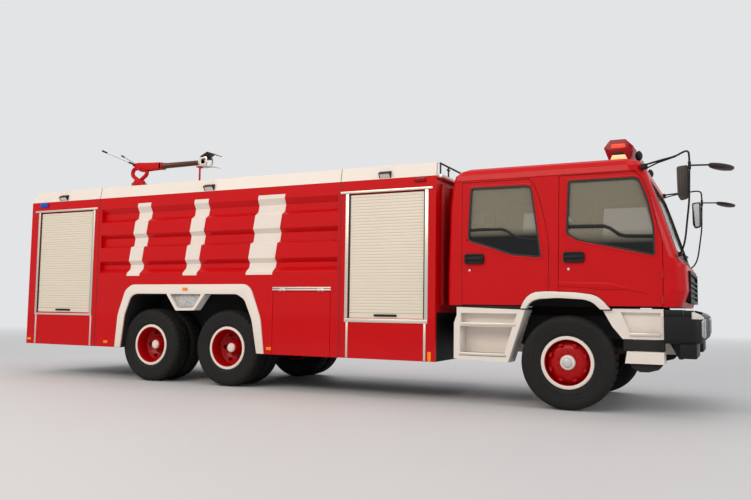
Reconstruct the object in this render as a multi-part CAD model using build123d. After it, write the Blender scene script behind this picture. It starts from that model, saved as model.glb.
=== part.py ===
from build123d import *
import math
import os

# Foam fire truck: a six-wheel-drive style chassis with one steered front axle and two rear
# axles on twin tyres, a four-door crew cab that tilts forward, and a body of three modules:
# a front locker, a tank with pressed ribs and a rear pump locker with a roof monitor.
# Millimetres. +X is forward, +Y is the truck's left, +Z is up and the ground is z = 0.
# Lengths along the truck are measured from the front axle, and ORIGIN_X moves the finished
# pieces so that the middle of the overall length is x = 0.

os.makedirs("parts", exist_ok=True)

# Wheels and axles
AXLE_Z = 525
WHEELBASE = 4650
TANDEM = 1370
REAR_AXLES = {"a": -WHEELBASE, "b": -WHEELBASE - TANDEM}
TYRE_WIDTH = 275
TYRE_FLATS = 36
RIM_BORE = 262
RIM_FLANGE = 294
RIM_WALL = 22
TRACK_HALF = 1062
DUAL_PITCH = 320
KINGPIN_Y = 905
KINGPIN_R = 22
STUB_R = 40
SPINDLE_R = 50
RUN_FIT = 0.08

# Chassis rails
RAIL_Y = (345, 425)
RAIL_Z = (780, 1040)
RAIL_X = (-8350, 1180)
SPRING_Y = 385
BOGIE_Y = (450, 530)

# Cab
CAB_Y = 1200
CAB_WALL = 50
CAB_FLOOR_Z = 1152
CAB_FLOOR_T = 40
CAB_TOP_Z = 2800
ROOF_EDGE_Z = 2625
CAB_REAR = -1410
PIVOT_X = 1120
PIVOT_Z = 600
PIVOT_Y = 250
PIVOT_R = 22
DOOR_GAP = 6
GLASS_INSET = 18
GLASS_T = 8

# Body
BODY_Y = 1250
BODY_Z = (470, 2720)
BODY_FRONT = -1543
SEAM_FRONT = -2856
SEAM_REAR = -7060
BODY_REAR = -8543
BODY_WALL = 45
BODY_BED_Z = 1060
PARAPET_Z = 2890
PARAPET_T = 40
PARAPET_LEAN = 30
DECK_T = 30
ROD_BEND = 30
TOW_R = 25

# The round mirrors are the foremost point and the towing plate is the rearmost.
NOSE_X = 1723
TOW_REACH = 110
TAIL_X = BODY_REAR - TOW_REACH
ORIGIN_X = -(NOSE_X + TAIL_X) / 2


def block(x, y, z):
    """A box between low and high values on each axis."""
    size = Box(x[1] - x[0], y[1] - y[0], z[1] - z[0])
    return Pos((x[0] + x[1]) / 2, (y[0] + y[1]) / 2, (z[0] + z[1]) / 2) * size


def side_form(outline, y, bend=0):
    """An outline of (x, z) points made thick from y[0] to y[1]."""
    line = FilletPolyline(*outline, radius=bend, close=True) if bend else Polyline(*outline, close=True)
    plane = Plane(origin=(0, y[1], 0), x_dir=(1, 0, 0), z_dir=(0, -1, 0))
    return extrude(plane * make_face(line), amount=y[1] - y[0])


def front_form(outline, x, bend=0):
    """An outline of (y, z) points made thick from x[0] to x[1]."""
    line = FilletPolyline(*outline, radius=bend, close=True) if bend else Polyline(*outline, close=True)
    plane = Plane(origin=(x[0], 0, 0), x_dir=(0, 1, 0), z_dir=(1, 0, 0))
    return extrude(plane * make_face(line), amount=x[1] - x[0])


def rod(radius, *points, bend=ROD_BEND):
    """A round bar along straight runs with bent corners."""
    path = FilletPolyline(*points, radius=bend) if len(points) > 2 else Line(*points)
    return sweep(Plane(origin=path @ 0, z_dir=path % 0) * Circle(radius), path=path)


def across(x, z, radius, y):
    """A cylinder along Y between two values of y."""
    return Pos(x, (y[0] + y[1]) / 2, z) * Rot(90, 0, 0) * Cylinder(radius, y[1] - y[0])


def upright(x, y, radius, z):
    """A cylinder along Z between two values of z."""
    return Pos(x, y, (z[0] + z[1]) / 2) * Cylinder(radius, z[1] - z[0])


def flipped(shape):
    """The same piece on the right-hand side."""
    return mirror(shape, about=Plane.XZ)


def pair(shape):
    return [shape, flipped(shape)]


def joined(*shapes):
    whole = shapes[0]
    for shape in shapes[1:]:
        whole = whole + shape
    return whole


def save(name, *shapes):
    solids = []
    for shape in shapes:
        solids.extend(shape.solids())
    whole = solids[0] if len(solids) == 1 else Compound(children=solids)
    export_step(Pos(ORIGIN_X, 0, 0) * whole, f"parts/{name}.step")


HINGE_R = 8
HINGE_PIN_R = 4
HINGE_LEAF = 30


def hinge(origin, toward_fixed, along):
    """Fixed and moving halves of a barrel hinge that stands on the skin, its axis at origin."""
    place = Plane(origin=origin, x_dir=toward_fixed, z_dir=along)
    leaf_y = (-HINGE_R, -HINGE_R + 3)
    half = 45
    mid = 14
    barrel_ends = [upright(0, 0, HINGE_R, (mid + 1, half)), upright(0, 0, HINGE_R, (-half, -mid - 1))]
    fixed_ties = [block((0, 12), leaf_y, (mid + 1, half)), block((0, 12), leaf_y, (-half, -mid - 1))]
    fixed = joined(*barrel_ends, *fixed_ties, upright(0, 0, HINGE_PIN_R, (-half, half)),
                   block((10, HINGE_LEAF), leaf_y, (-half, half)))
    moving = joined(upright(0, 0, HINGE_R, (-mid, mid)), block((-12, 0), leaf_y, (-mid, mid)),
                    block((-HINGE_LEAF, -10), leaf_y, (-half, half)))
    moving = moving - upright(0, 0, HINGE_PIN_R + RUN_FIT, (-half, half))
    return place.location * fixed, place.location * moving


# Wheels. Each tyre and rim is drawn with flats round it, each about as long as the patch that
# a loaded tyre presses flat on the road.

def ring_stack(stations, x, y):
    """A wheel form through (offset along the axle, radius to the flats) stations."""
    start = 180 / TYRE_FLATS
    sections = []
    for offset, radius in stations:
        plane = Plane(origin=(x, y + offset, AXLE_Z), x_dir=(1, 0, 0), z_dir=(0, 1, 0))
        flats = RegularPolygon(radius, side_count=TYRE_FLATS, major_radius=False, rotation=start)
        sections.append(plane * flats)
    return loft(sections, ruled=True)


TYRE_SIDE = TYRE_WIDTH / 2
RIM_HALF = 100
TYRE_STATIONS = [
    (-RIM_HALF, RIM_FLANGE),
    (-TYRE_SIDE, 385),
    (-TYRE_SIDE + 6, 460),
    (-TYRE_SIDE + 30, AXLE_Z - 4),
    (-TYRE_SIDE + 42, AXLE_Z),
    (TYRE_SIDE - 42, AXLE_Z),
    (TYRE_SIDE - 30, AXLE_Z - 4),
    (TYRE_SIDE - 6, 460),
    (TYRE_SIDE, 385),
    (RIM_HALF, RIM_FLANGE),
]


def tyre(x, y):
    bore = ring_stack([(-RIM_HALF, RIM_BORE), (RIM_HALF, RIM_BORE)], x, y)
    return ring_stack(TYRE_STATIONS, x, y) - bore


def rim_barrel(x, y):
    """The rim's barrel with a flange at each side of the tyre's beads."""
    flange = 10
    barrel = ring_stack([(-RIM_HALF - flange, RIM_BORE), (RIM_HALF + flange, RIM_BORE)], x, y)
    for low in (-RIM_HALF - flange, RIM_HALF):
        barrel = barrel + ring_stack([(low, RIM_FLANGE), (low + flange, RIM_FLANGE)], x, y)
    end = RIM_HALF + flange
    return barrel - ring_stack([(-end, RIM_BORE - RIM_WALL), (end, RIM_BORE - RIM_WALL)], x, y)


def turned(profile, x):
    """A profile of (y, radius) points turned about the axle line at x."""
    plane = Plane(origin=(x, 0, AXLE_Z), x_dir=(0, 1, 0), z_dir=(1, 0, 0))
    face = plane * make_face(Polyline(*profile, close=True))
    return revolve(face, axis=Axis((x, 0, AXLE_Z), (0, 1, 0)))


def hand_holes(x, y, radius, size, count):
    """Round holes through a wheel disc, spaced round the axle."""
    tools = []
    for index in range(count):
        angle = math.radians(360 * index / count)
        hole = across(x + radius * math.cos(angle), AXLE_Z + radius * math.sin(angle), size, y)
        tools.append(hole)
    return tools


DISC_FIT = RIM_BORE - RIM_WALL + 6
HUB_R = 86


def front_wheel(x):
    """Front tyre, and its rim with the domed disc, hub and cap."""
    y = TRACK_HALF
    face = y + 62
    dome = turned([(y + 20, DISC_FIT), (y + 34, DISC_FIT), (face, 170), (face + 6, HUB_R),
                   (face + 6, 0), (face - 14, 0), (face - 14, 165)], x)
    hub = turned([(KINGPIN_Y + 60, STUB_R + RUN_FIT), (KINGPIN_Y + 60, HUB_R), (face, HUB_R),
                  (face + 60, 52), (face + 66, 44), (face + 66, 0), (face + 50, 0),
                  (face + 50, STUB_R + RUN_FIT)], x)
    bore = across(x, AXLE_Z, STUB_R + RUN_FIT, (KINGPIN_Y, face + 50))
    disc = dome - bore
    for hole in hand_holes(x, (y - 20, face + 20), 196, 22, 8):
        disc = disc - hole
    return tyre(x, y), joined(rim_barrel(x, y), disc, hub)


def rear_wheels(x):
    """Twin rear tyres, and the two rims bolted back to back on the hub."""
    outer = TRACK_HALF
    inner = TRACK_HALF - DUAL_PITCH
    mid = (outer + inner) / 2
    dish = 52
    disc = turned([(mid, STUB_R), (mid, 150), (mid + dish, DISC_FIT), (mid + dish + 16, DISC_FIT),
                   (mid + 16, 162), (mid + 16, STUB_R)], x)
    back = turned([(mid, STUB_R), (mid - 16, STUB_R), (mid - 16, 162), (mid - dish - 16, DISC_FIT),
                   (mid - dish, DISC_FIT), (mid, 150)], x)
    hub = turned([(inner - 60, SPINDLE_R + RUN_FIT), (inner - 60, 205), (inner + 60, 205),
                  (inner + 60, 120), (mid + 60, 110), (mid + 175, 74), (mid + 190, 60),
                  (mid + 190, 0), (mid + 170, 0), (mid + 170, SPINDLE_R + RUN_FIT)], x)
    bore = across(x, AXLE_Z, SPINDLE_R + RUN_FIT, (inner - 70, mid + 170))
    discs = disc + back - bore
    for hole in hand_holes(x, (inner, outer), 192, 26, 6):
        discs = discs - hole
    barrels = rim_barrel(x, outer) + rim_barrel(x, inner)
    return [tyre(x, outer), tyre(x, inner)], joined(barrels, discs, hub)


front_tyre, front_rim = front_wheel(0)
save("tyre_front_l", front_tyre)
save("tyre_front_r", flipped(front_tyre))
save("rim_front_l", front_rim)
save("rim_front_r", flipped(front_rim))
for axle_name, axle_x in REAR_AXLES.items():
    rear_tyres, rear_rims = rear_wheels(axle_x)
    save(f"tyres_rear_{axle_name}_l", *rear_tyres)
    save(f"tyres_rear_{axle_name}_r", *[flipped(item) for item in rear_tyres])
    save(f"rims_rear_{axle_name}_l", rear_rims)
    save(f"rims_rear_{axle_name}_r", flipped(rear_rims))


# Front axle: a beam that drops in the middle, with an upright eye at each end for the kingpin.

KINGPIN_EYE = (465, 585)
EYE_R = 44
BEAM_DEPTH = 75
BEAM_DROP = 60
SPRING_SEAT_Z = AXLE_Z + 15


def front_beam():
    half = [(0, AXLE_Z - BEAM_DROP - BEAM_DEPTH), (520, AXLE_Z - BEAM_DROP - BEAM_DEPTH),
            (KINGPIN_Y - 60, KINGPIN_EYE[0] + 8), (KINGPIN_Y - 20, KINGPIN_EYE[0] + 8),
            (KINGPIN_Y - 20, KINGPIN_EYE[1] - 8), (KINGPIN_Y - 60, KINGPIN_EYE[1] - 8),
            (520, AXLE_Z - BEAM_DROP + 30), (0, AXLE_Z - BEAM_DROP + 30)]
    beam = front_form(half, (-45, 45))
    eye = upright(0, KINGPIN_Y, EYE_R, KINGPIN_EYE)
    seat = block((-90, 90), (SPRING_Y - 45, SPRING_Y + 45), (AXLE_Z - BEAM_DROP, SPRING_SEAT_Z))
    arm = joined(beam, eye, seat) - upright(0, KINGPIN_Y, KINGPIN_R + RUN_FIT, (400, 650))
    return arm + flipped(arm)


def knuckle():
    """A fork over and under the beam's eye, with the kingpin and the stub that carries the hub."""
    gap = 1
    cheek = 24
    low = KINGPIN_EYE[0] - gap - cheek
    high = KINGPIN_EYE[1] + gap + cheek
    top = upright(0, KINGPIN_Y, EYE_R, (KINGPIN_EYE[1] + gap, high))
    bottom = upright(0, KINGPIN_Y, EYE_R, (low, KINGPIN_EYE[0] - gap))
    reach = (KINGPIN_Y + EYE_R + 3, KINGPIN_Y + EYE_R + 11)
    web = block((-EYE_R, EYE_R), reach, (low, high))
    tabs = [block((-EYE_R, EYE_R), (KINGPIN_Y, reach[1]), (low, KINGPIN_EYE[0] - gap)),
            block((-EYE_R, EYE_R), (KINGPIN_Y, reach[1]), (KINGPIN_EYE[1] + gap, high))]
    pin = upright(0, KINGPIN_Y, KINGPIN_R, (low, high))
    stub = across(0, AXLE_Z, STUB_R, (reach[0], TRACK_HALF + 100))
    arm = rod(11, (0, KINGPIN_Y, low + cheek / 2), (-170, KINGPIN_Y - 45, low + cheek / 2))
    return joined(top, bottom, web, *tabs, pin, stub, arm)


save("front_axle", front_beam())
save("knuckle_l", knuckle())
save("knuckle_r", flipped(knuckle()))


# Rear axles: a tube with the final drive's round housing in the middle.

TUBE_R = 80
BANJO_R = 215
SHAFT_Z = AXLE_Z + 20


def rear_axle(x):
    inner = TRACK_HALF - DUAL_PITCH
    mid = TRACK_HALF - DUAL_PITCH / 2
    tube = turned([(-inner + 70, 0), (-inner + 70, TUBE_R), (inner - 70, TUBE_R), (inner - 70, 0)], x)
    spindle = turned([(inner - 70, 0), (inner - 70, SPINDLE_R), (mid + 160, SPINDLE_R),
                      (mid + 160, 0)], x)
    banjo = turned([(-60, 0), (-60, BANJO_R - 60), (-30, BANJO_R), (30, BANJO_R),
                    (60, BANJO_R - 60), (60, 0)], x)
    nose = Pos(x + 230, 0, SHAFT_Z) * Rot(0, 90, 0) * Cone(95, 60, 220)
    boss = Pos(x - 225, 0, SHAFT_Z) * Rot(0, 90, 0) * Cylinder(60, 90)
    seats = [block((x - 70, x + 70), BOGIE_Y, (AXLE_Z, AXLE_Z + TUBE_R + 25))]
    half = joined(tube, spindle, banjo, nose, boss, *seats)
    return half + flipped(joined(spindle, *seats))


save("rear_axles", *[rear_axle(x) for x in REAR_AXLES.values()])


# Springs. The front leaves hang between rail brackets and the rear ones rock on a trunnion.

def arc_leaf(x_mid, half_span, z_mid, z_end, thick, y):
    """A bowed stack of leaves between two ends."""
    low = ThreePointArc((x_mid - half_span, z_end), (x_mid, z_mid), (x_mid + half_span, z_end))
    high = ThreePointArc((x_mid - half_span, z_end + thick * 0.5), (x_mid, z_mid + thick),
                         (x_mid + half_span, z_end + thick * 0.5))
    ends = [Line(low @ 0, high @ 0), Line(low @ 1, high @ 1)]
    plane = Plane(origin=(0, y[1], 0), x_dir=(1, 0, 0), z_dir=(0, -1, 0))
    return extrude(plane * make_face([low, high, *ends]), amount=y[1] - y[0])


LEAF_HALF = 40
FRONT_LEAF_END = 690
FRONT_LEAF_T = 75
front_leaf = arc_leaf(0, 720, SPRING_SEAT_Z, FRONT_LEAF_END, FRONT_LEAF_T, (SPRING_Y - LEAF_HALF, SPRING_Y + LEAF_HALF))
BOGIE_MID = (REAR_AXLES["a"] + REAR_AXLES["b"]) / 2
BOGIE_END = AXLE_Z + TUBE_R + 25
bogie_leaf = arc_leaf(BOGIE_MID, TANDEM / 2 + 60, BOGIE_END + 40, BOGIE_END, 110, BOGIE_Y)
save("leaf_springs", *pair(front_leaf), *pair(bogie_leaf))


# Chassis frame: two channel rails, cross members, spring brackets and the cab's pivot ears.

def rail():
    web = 10
    channel = block(RAIL_X, RAIL_Y, RAIL_Z)
    hollow = block((RAIL_X[0] - 1, RAIL_X[1] + 1), (RAIL_Y[0] - 1, RAIL_Y[1] - web),
                   (RAIL_Z[0] + web, RAIL_Z[1] - web))
    return channel - hollow


def chassis():
    parts = [rail()]
    for x in (-730, 730):
        leg = block((x - 50, x + 50), (SPRING_Y - LEAF_HALF, SPRING_Y + LEAF_HALF),
                    (FRONT_LEAF_END + FRONT_LEAF_T / 2, RAIL_Z[0]))
        parts.append(leg)
    trunnion = side_form([(BOGIE_MID - 170, RAIL_Z[0] + 120), (BOGIE_MID + 170, RAIL_Z[0] + 120),
                          (BOGIE_MID + 90, BOGIE_END + 150), (BOGIE_MID - 90, BOGIE_END + 150)],
                         (RAIL_Y[1], BOGIE_Y[1]))
    parts.append(trunnion)
    ear_y = (PIVOT_Y + 22, PIVOT_Y + 46)
    ear = side_form([(PIVOT_X - 140, RAIL_Z[0]), (PIVOT_X + 40, RAIL_Z[0]), (PIVOT_X + 46, PIVOT_Z),
                     (PIVOT_X + 20, PIVOT_Z - 42), (PIVOT_X - 20, PIVOT_Z - 42),
                     (PIVOT_X - 46, PIVOT_Z)], ear_y)
    shelf = block((PIVOT_X - 140, PIVOT_X + 40), (ear_y[0], RAIL_Y[1]), (RAIL_Z[0], RAIL_Z[0] + 10))
    pin = across(PIVOT_X, PIVOT_Z, PIVOT_R, (PIVOT_Y - 22, ear_y[1]))
    parts.extend([ear, shelf, pin])
    parts.append(block((BODY_REAR + 60, BODY_FRONT - 10), (RAIL_Y[1] - 70, RAIL_Y[1]), (RAIL_Z[1], BODY_BED_Z)))
    side = joined(*parts)
    members = [block((x - 60, x + 60), (-RAIL_Y[1] + 10, RAIL_Y[1] - 10), (RAIL_Z[0] + 60, RAIL_Z[1] - 60))
               for x in (-8250, -7100, BOGIE_MID, -3900, -2600, 700)]
    tow_z = (840, 870)
    tow = block((TAIL_X, RAIL_X[0] + 60), (-90, 90), tow_z) - upright(BODY_REAR - 60, 0, TOW_R, (800, 900))
    return joined(side, flipped(side), *members, tow)


save("chassis_frame", chassis())

ENGINE_X = (-620, 620)
ENGINE_Y = 250
ENGINE_Z = (660, 1290)
engine = block(ENGINE_X, (-ENGINE_Y, ENGINE_Y), ENGINE_Z)
GEARBOX_END = -1280
GEARBOX_Z = 860
gearbox = Pos(GEARBOX_END + 330, 0, GEARBOX_Z) * Rot(0, 90, 0) * Cone(150, 210, 660)
engine_mount = block((-40, 40), (-RAIL_Y[0] - 10, RAIL_Y[0] + 10), (RAIL_Z[0] + 60, RAIL_Z[0] + 140))
save("engine", joined(engine, gearbox, engine_mount))


def shafts():
    """The drive shaft to the first rear axle and the short one between the two."""
    first = rod(45, (GEARBOX_END - 5, 0, GEARBOX_Z), (REAR_AXLES["a"] + 345, 0, SHAFT_Z))
    second = rod(40, (REAR_AXLES["a"] - 270, 0, SHAFT_Z), (REAR_AXLES["b"] + 340, 0, SHAFT_Z))
    return [first, second]


save("drive_shafts", *shafts())

TANK_X = (-2560, -1760)
fuel_tank = front_form([(470, 540), (900, 540), (900, 915), (470, 915)], TANK_X, bend=60)
tank_bracket = block((TANK_X[0] + 300, TANK_X[1] - 300), (RAIL_Y[1], 480), (790, 850))
air_tank = Pos(-3400, -640, 790) * Rot(0, 90, 0) * Cylinder(120, 760)
air_bracket = block((-3440, -3360), (-560, -RAIL_Y[1]), (785, 850))
save("chassis_tanks", fuel_tank + tank_bracket, air_tank + air_bracket)


# Cab. Level sections carry its outer form, and the same sections drawn in by the wall give
# the inside, so that doors, roof and pillars are all one wall thick.

CAB_SECTIONS = [
    # height, rear face, front face, half width
    (CAB_FLOOR_Z, CAB_REAR, 1190, CAB_Y),
    (1330, CAB_REAR, 1245, CAB_Y),
    (1610, CAB_REAR + 2, 1235, CAB_Y),
    (1680, CAB_REAR + 4, 1165, CAB_Y),
    (2340, CAB_REAR + 22, 955, CAB_Y),
    (ROOF_EDGE_Z, CAB_REAR + 60, 855, CAB_Y),
    (CAB_TOP_Z - 100, CAB_REAR + 80, 832, CAB_Y - 8),
    (CAB_TOP_Z - 45, CAB_REAR + 140, 795, CAB_Y - 42),
    (CAB_TOP_Z - 14, CAB_REAR + 215, 735, CAB_Y - 100),
    (CAB_TOP_Z, CAB_REAR + 320, 640, CAB_Y - 185),
]
CAB_FRONT_R = 170
CAB_REAR_R = 70


def cab_section(z, rear, front, half, inset):
    """One level section with round corners, drawn in by the inset."""
    plan = [(rear + inset, -half + inset), (front - inset, -half + inset),
            (front - inset, half - inset), (rear + inset, half - inset)]
    corners = [CAB_REAR_R - inset, CAB_FRONT_R - inset, CAB_FRONT_R - inset, CAB_REAR_R - inset]
    return Pos(0, 0, z) * make_face(FilletPolyline(*plan, radius=corners, close=True))


def cab_form(inset):
    sections = []
    for row, (z, rear, front, half) in enumerate(CAB_SECTIONS):
        if row == 0 or z > ROOF_EDGE_Z:
            z = z - inset
        sections.append(cab_section(z, rear, front, half, inset))
    return loft(sections, ruled=True)


cab_outer = cab_form(0)
cab_inner = cab_form(CAB_WALL)
cab_skin = cab_outer - cab_inner
glass_sheet = cab_form(GLASS_INSET) - cab_form(GLASS_INSET + GLASS_T)

# Front wheel arch: the white flare's outer and inner outlines on the cab's side.
ARCH_OUTER = [(-515, 1120), (-463, 1230), (-373, 1304), (-233, 1317), (104, 1306), (299, 1281), (387, 1227), (475, 1120)]
ARCH_INNER = [(-453, 1120), (-414, 1190), (-323, 1230), (-94, 1244), (201, 1228), (289, 1199), (370, 1120)]
FLARE_Y = (1150, 1228)
ARCH_DEPTH_Y = 830
arch_cut = side_form(ARCH_OUTER, (-CAB_Y - 50, CAB_Y + 50))

# Door outlines and their windows on the cab's side, as (x, z).
REAR_DOOR = [(-1228, CAB_FLOOR_Z), (-196, CAB_FLOOR_Z), (-196, 1335), (-193, 1869), (-232, 2111), (-289, 2355),
             (-359, 2554), (-419, 2612), (-1228, 2612)]
REAR_WINDOW = [(-1118, 2542), (-421, 2538), (-385, 2493), (-308, 1933), (-280, 1700), (-617, 1734),
               (-955, 1852), (-1134, 1905), (-1150, 1956)]
FRONT_DOOR = [(-94, CAB_FLOOR_Z), (1012, CAB_FLOOR_Z), (1019, 1553), (1013, 1865), (960, 2075), (887, 2370),
              (811, 2562), (742, 2622), (-75, 2622)]
FRONT_WINDOW = [(29, 2559), (764, 2558), (808, 2491), (883, 2276), (933, 1994), (938, 1700),
                (123, 1886), (3, 1960)]
WINDOW_BEND = 28
DOOR_Y = (CAB_Y - CAB_WALL - 4, CAB_Y + 4)


def shrunk(outline, gap, y):
    """A door's prism: its outline drawn in by the running gap."""
    face = make_face(Polyline(*outline, close=True))
    plane = Plane(origin=(0, y[1], 0), x_dir=(1, 0, 0), z_dir=(0, -1, 0))
    return extrude(plane * offset(face, -gap, kind=Kind.INTERSECTION), amount=y[1] - y[0])


def door(outline, window):
    """A door panel cut from the cab's own wall, with its window."""
    panel = cab_skin & shrunk(outline, DOOR_GAP, DOOR_Y)
    arch_clear = shrunk(ARCH_OUTER, -DOOR_GAP, DOOR_Y)
    hole = side_form(window, DOOR_Y, WINDOW_BEND)
    return panel - arch_clear - hole, glass_sheet & hole


def pull(x, z):
    """A recessed-look grab handle on the door's skin."""
    return side_form([(x[0], z[0]), (x[1], z[0]), (x[1], z[1]), (x[0], z[1])], (CAB_Y, CAB_Y + 22), 20)


DOOR_HINGES = {"rear": (-196 - DOOR_GAP / 2, (1420, 1780)), "front": (1016 - DOOR_GAP / 2, (1230, 1500))}
HANDLES = {"rear": ((-1181, -957), (1640, 1752)), "front": ((-23, 197), (1643, 1752))}
DOORS = {"rear": (REAR_DOOR, REAR_WINDOW), "front": (FRONT_DOOR, FRONT_WINDOW)}
shell_hinges = []
for place, (outline, window) in DOORS.items():
    panel, pane = door(outline, window)
    panel = panel + pull(*HANDLES[place])
    hinge_x, heights = DOOR_HINGES[place]
    for z in heights:
        fixed, moving = hinge((hinge_x, CAB_Y + HINGE_R, z), (1, 0, 0), (0, 0, 1))
        panel = panel + moving
        shell_hinges.extend(pair(fixed))
    save(f"door_{place}_l", panel)
    save(f"door_{place}_r", flipped(panel))
    save(f"door_glass_{place}_l", pane)
    save(f"door_glass_{place}_r", flipped(pane))

GRILLE = [(-760, 1200), (760, 1200), (760, 1560), (-760, 1560)]
WINDSCREEN = [(-1040, 1745), (1040, 1745), (985, 2560), (-985, 2560)]
BACK_WINDOW = [(-560, 1950), (560, 1950), (560, 2420), (-560, 2420)]
screen_hole = front_form(WINDSCREEN, (CAB_REAR + 400, 1400), 60)
back_hole = front_form(BACK_WINDOW, (CAB_REAR - 60, CAB_REAR + 200), 50)


GRILLE_X = (1226, 1262)
grille_seat = front_form(GRILLE, (GRILLE_X[0], GRILLE_X[1] + 50), 30)


def cab_shell():
    shell = cab_skin
    for side in (1, -1):
        for outline, window in DOORS.values():
            hole = side_form(outline, DOOR_Y)
            shell = shell - (hole if side == 1 else flipped(hole))
    shell = shell - arch_cut - screen_hole - back_hole - grille_seat
    return joined(shell, *shell_hinges)


save("cab_shell", cab_shell())
save("cab_glass", glass_sheet & screen_hole, glass_sheet & back_hole)

TUNNEL_Y = 330
TUNNEL_Z = 1400


def cab_floor():
    """Floor with a hump over the engine, raised wheel arches and the arms down to the pivot."""
    sill = CAB_Y - CAB_WALL - DOOR_GAP
    slab = cab_inner & block((-2000, 2000), (-sill, sill), (CAB_FLOOR_Z, CAB_FLOOR_Z + CAB_FLOOR_T))
    plate = 12
    hump = block((ENGINE_X[0] - 120, ENGINE_X[1] + 120), (-TUNNEL_Y, TUNNEL_Y), (CAB_FLOOR_Z, TUNNEL_Z))
    room = block((ENGINE_X[0] - 120 + plate, ENGINE_X[1] + 120 - plate), (-TUNNEL_Y + plate, TUNNEL_Y - plate),
                 (CAB_FLOOR_Z - 10, TUNNEL_Z - plate))
    arch_y = (ARCH_DEPTH_Y, CAB_Y - CAB_WALL)
    arch_y_in = (ARCH_DEPTH_Y + plate, CAB_Y)
    floor = slab + hump
    for side in (1, -1):
        arch = side_form(ARCH_OUTER, arch_y) & block((-2000, 2000), arch_y, (CAB_FLOOR_Z, 2000))
        well = side_form(ARCH_INNER, arch_y_in)
        if side == -1:
            arch = flipped(arch)
            well = flipped(well)
        floor = floor + arch - well
    floor = floor - room
    arm_y = (PIVOT_Y - 18, PIVOT_Y + 18)
    arm = side_form([(PIVOT_X - 46, PIVOT_Z), (PIVOT_X, PIVOT_Z - 46), (PIVOT_X + 46, PIVOT_Z), (960, CAB_FLOOR_Z),
                     (800, CAB_FLOOR_Z)], arm_y)
    arm = arm - across(PIVOT_X, PIVOT_Z, PIVOT_R + RUN_FIT, (0, 400))
    return joined(floor, arm, flipped(arm))


save("cab_floor", cab_floor())


def flare():
    """The white lip round the front wheel arch."""
    return side_form(ARCH_OUTER, FLARE_Y) - side_form(ARCH_INNER, FLARE_Y)


save("cab_arches", *pair(flare()))


# Cab inside, seen through the glass.

FLOOR_TOP = CAB_FLOOR_Z + CAB_FLOOR_T


def seat(x, y, width):
    """A seat: base box, cushion and a leaning back with a head rest."""
    half = width / 2
    base = block((x - 200, x + 200), (y - half + 60, y + half - 60), (FLOOR_TOP, FLOOR_TOP + 260))
    cushion = block((x - 240, x + 260), (y - half, y + half), (FLOOR_TOP + 260, FLOOR_TOP + 400))
    back = side_form([(x - 240, FLOOR_TOP + 380), (x - 120, FLOOR_TOP + 380), (x - 220, FLOOR_TOP + 1010),
                      (x - 320, FLOOR_TOP + 1010)], (y - half, y + half))
    rest = block((x - 320, x - 230), (y - 140, y + 140), (FLOOR_TOP + 1010, FLOOR_TOP + 1180))
    return joined(base, cushion, back, rest)


save("cab_seats", seat(240, 620, 500), seat(240, -620, 500), seat(-980, 0, 1900))
dash = side_form([(860, 1560), (1110, 1560), (1110, 1640), (1000, 1690), (860, 1650)], (-1120, 1120))
dash_leg = side_form([(1000, FLOOR_TOP), (1110, FLOOR_TOP), (1110, 1570), (1000, 1570)], (-1120, 1120))
column = rod(24, (980, 620, 1600), (760, 620, 1780))
wheel_plane = Plane(origin=(760, 620, 1780), z_dir=(-0.77, 0, 0.63))
steering = wheel_plane * Torus(215, 16)
spokes = wheel_plane * Box(400, 40, 14)
save("dashboard", joined(dash, dash_leg, column, steering, spokes))


# Front of the cab: grille, and the bumper with its lamps on the chassis.

def grille():
    frame = front_form(GRILLE, GRILLE_X, 30)
    hole = front_form([(-720, 1236), (720, 1236), (720, 1524), (-720, 1524)], (1234, 1300), 20)
    bars = [block((1234, 1258), (-730, 730), (z, z + 22)) for z in range(1270, 1500, 58)]
    return joined(frame - hole, *bars)


save("cab_grille", grille())

BUMPER_X = (1013, 1391)
BUMPER_Z = (770, 1055)
BUMPER_T = 60


def bumper():
    plan = [(BUMPER_X[0], -CAB_Y), (BUMPER_X[1], -CAB_Y), (BUMPER_X[1], CAB_Y), (BUMPER_X[0], CAB_Y)]
    inner = [(BUMPER_X[0] - 10, -CAB_Y + BUMPER_T), (BUMPER_X[1] - BUMPER_T, -CAB_Y + BUMPER_T),
             (BUMPER_X[1] - BUMPER_T, CAB_Y - BUMPER_T), (BUMPER_X[0] - 10, CAB_Y - BUMPER_T)]
    outside = Pos(0, 0, BUMPER_Z[0]) * make_face(FilletPolyline(*plan, radius=[1, 130, 130, 1], close=True))
    inside = Pos(0, 0, BUMPER_Z[0] - 1) * make_face(FilletPolyline(*inner, radius=[1, 80, 80, 1], close=True))
    shell = extrude(outside, amount=BUMPER_Z[1] - BUMPER_Z[0]) - extrude(inside, amount=BUMPER_Z[1])
    horn = block((RAIL_X[1], BUMPER_X[1] - BUMPER_T), (RAIL_Y[0], RAIL_Y[1]), (RAIL_Z[0] + 20, RAIL_Z[0] + 120))
    valance = block((1164, 1329), (PIVOT_Y + 200, CAB_Y - 40), (616, BUMPER_Z[0]))
    return joined(shell, *pair(horn), *pair(valance))


save("bumper", bumper())


def bumper_lamps():
    """Headlamp in the bumper's face, and the corner indicator whose top stays under the cab's swing."""
    head = front_form([(720, 840), (1020, 840), (1020, 985), (720, 985)], (BUMPER_X[1], BUMPER_X[1] + 12), 30)
    top = BUMPER_Z[1]
    corner = side_form([(1205, top), (1376, top), (1368, top + 24), (1290, top + 56), (1205, top + 72)],
                       (CAB_Y - 130, CAB_Y - 10))
    return [head, corner]


signal_lamps = bumper_lamps()


# Steps below the doors, carried by arms from the rails.

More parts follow.
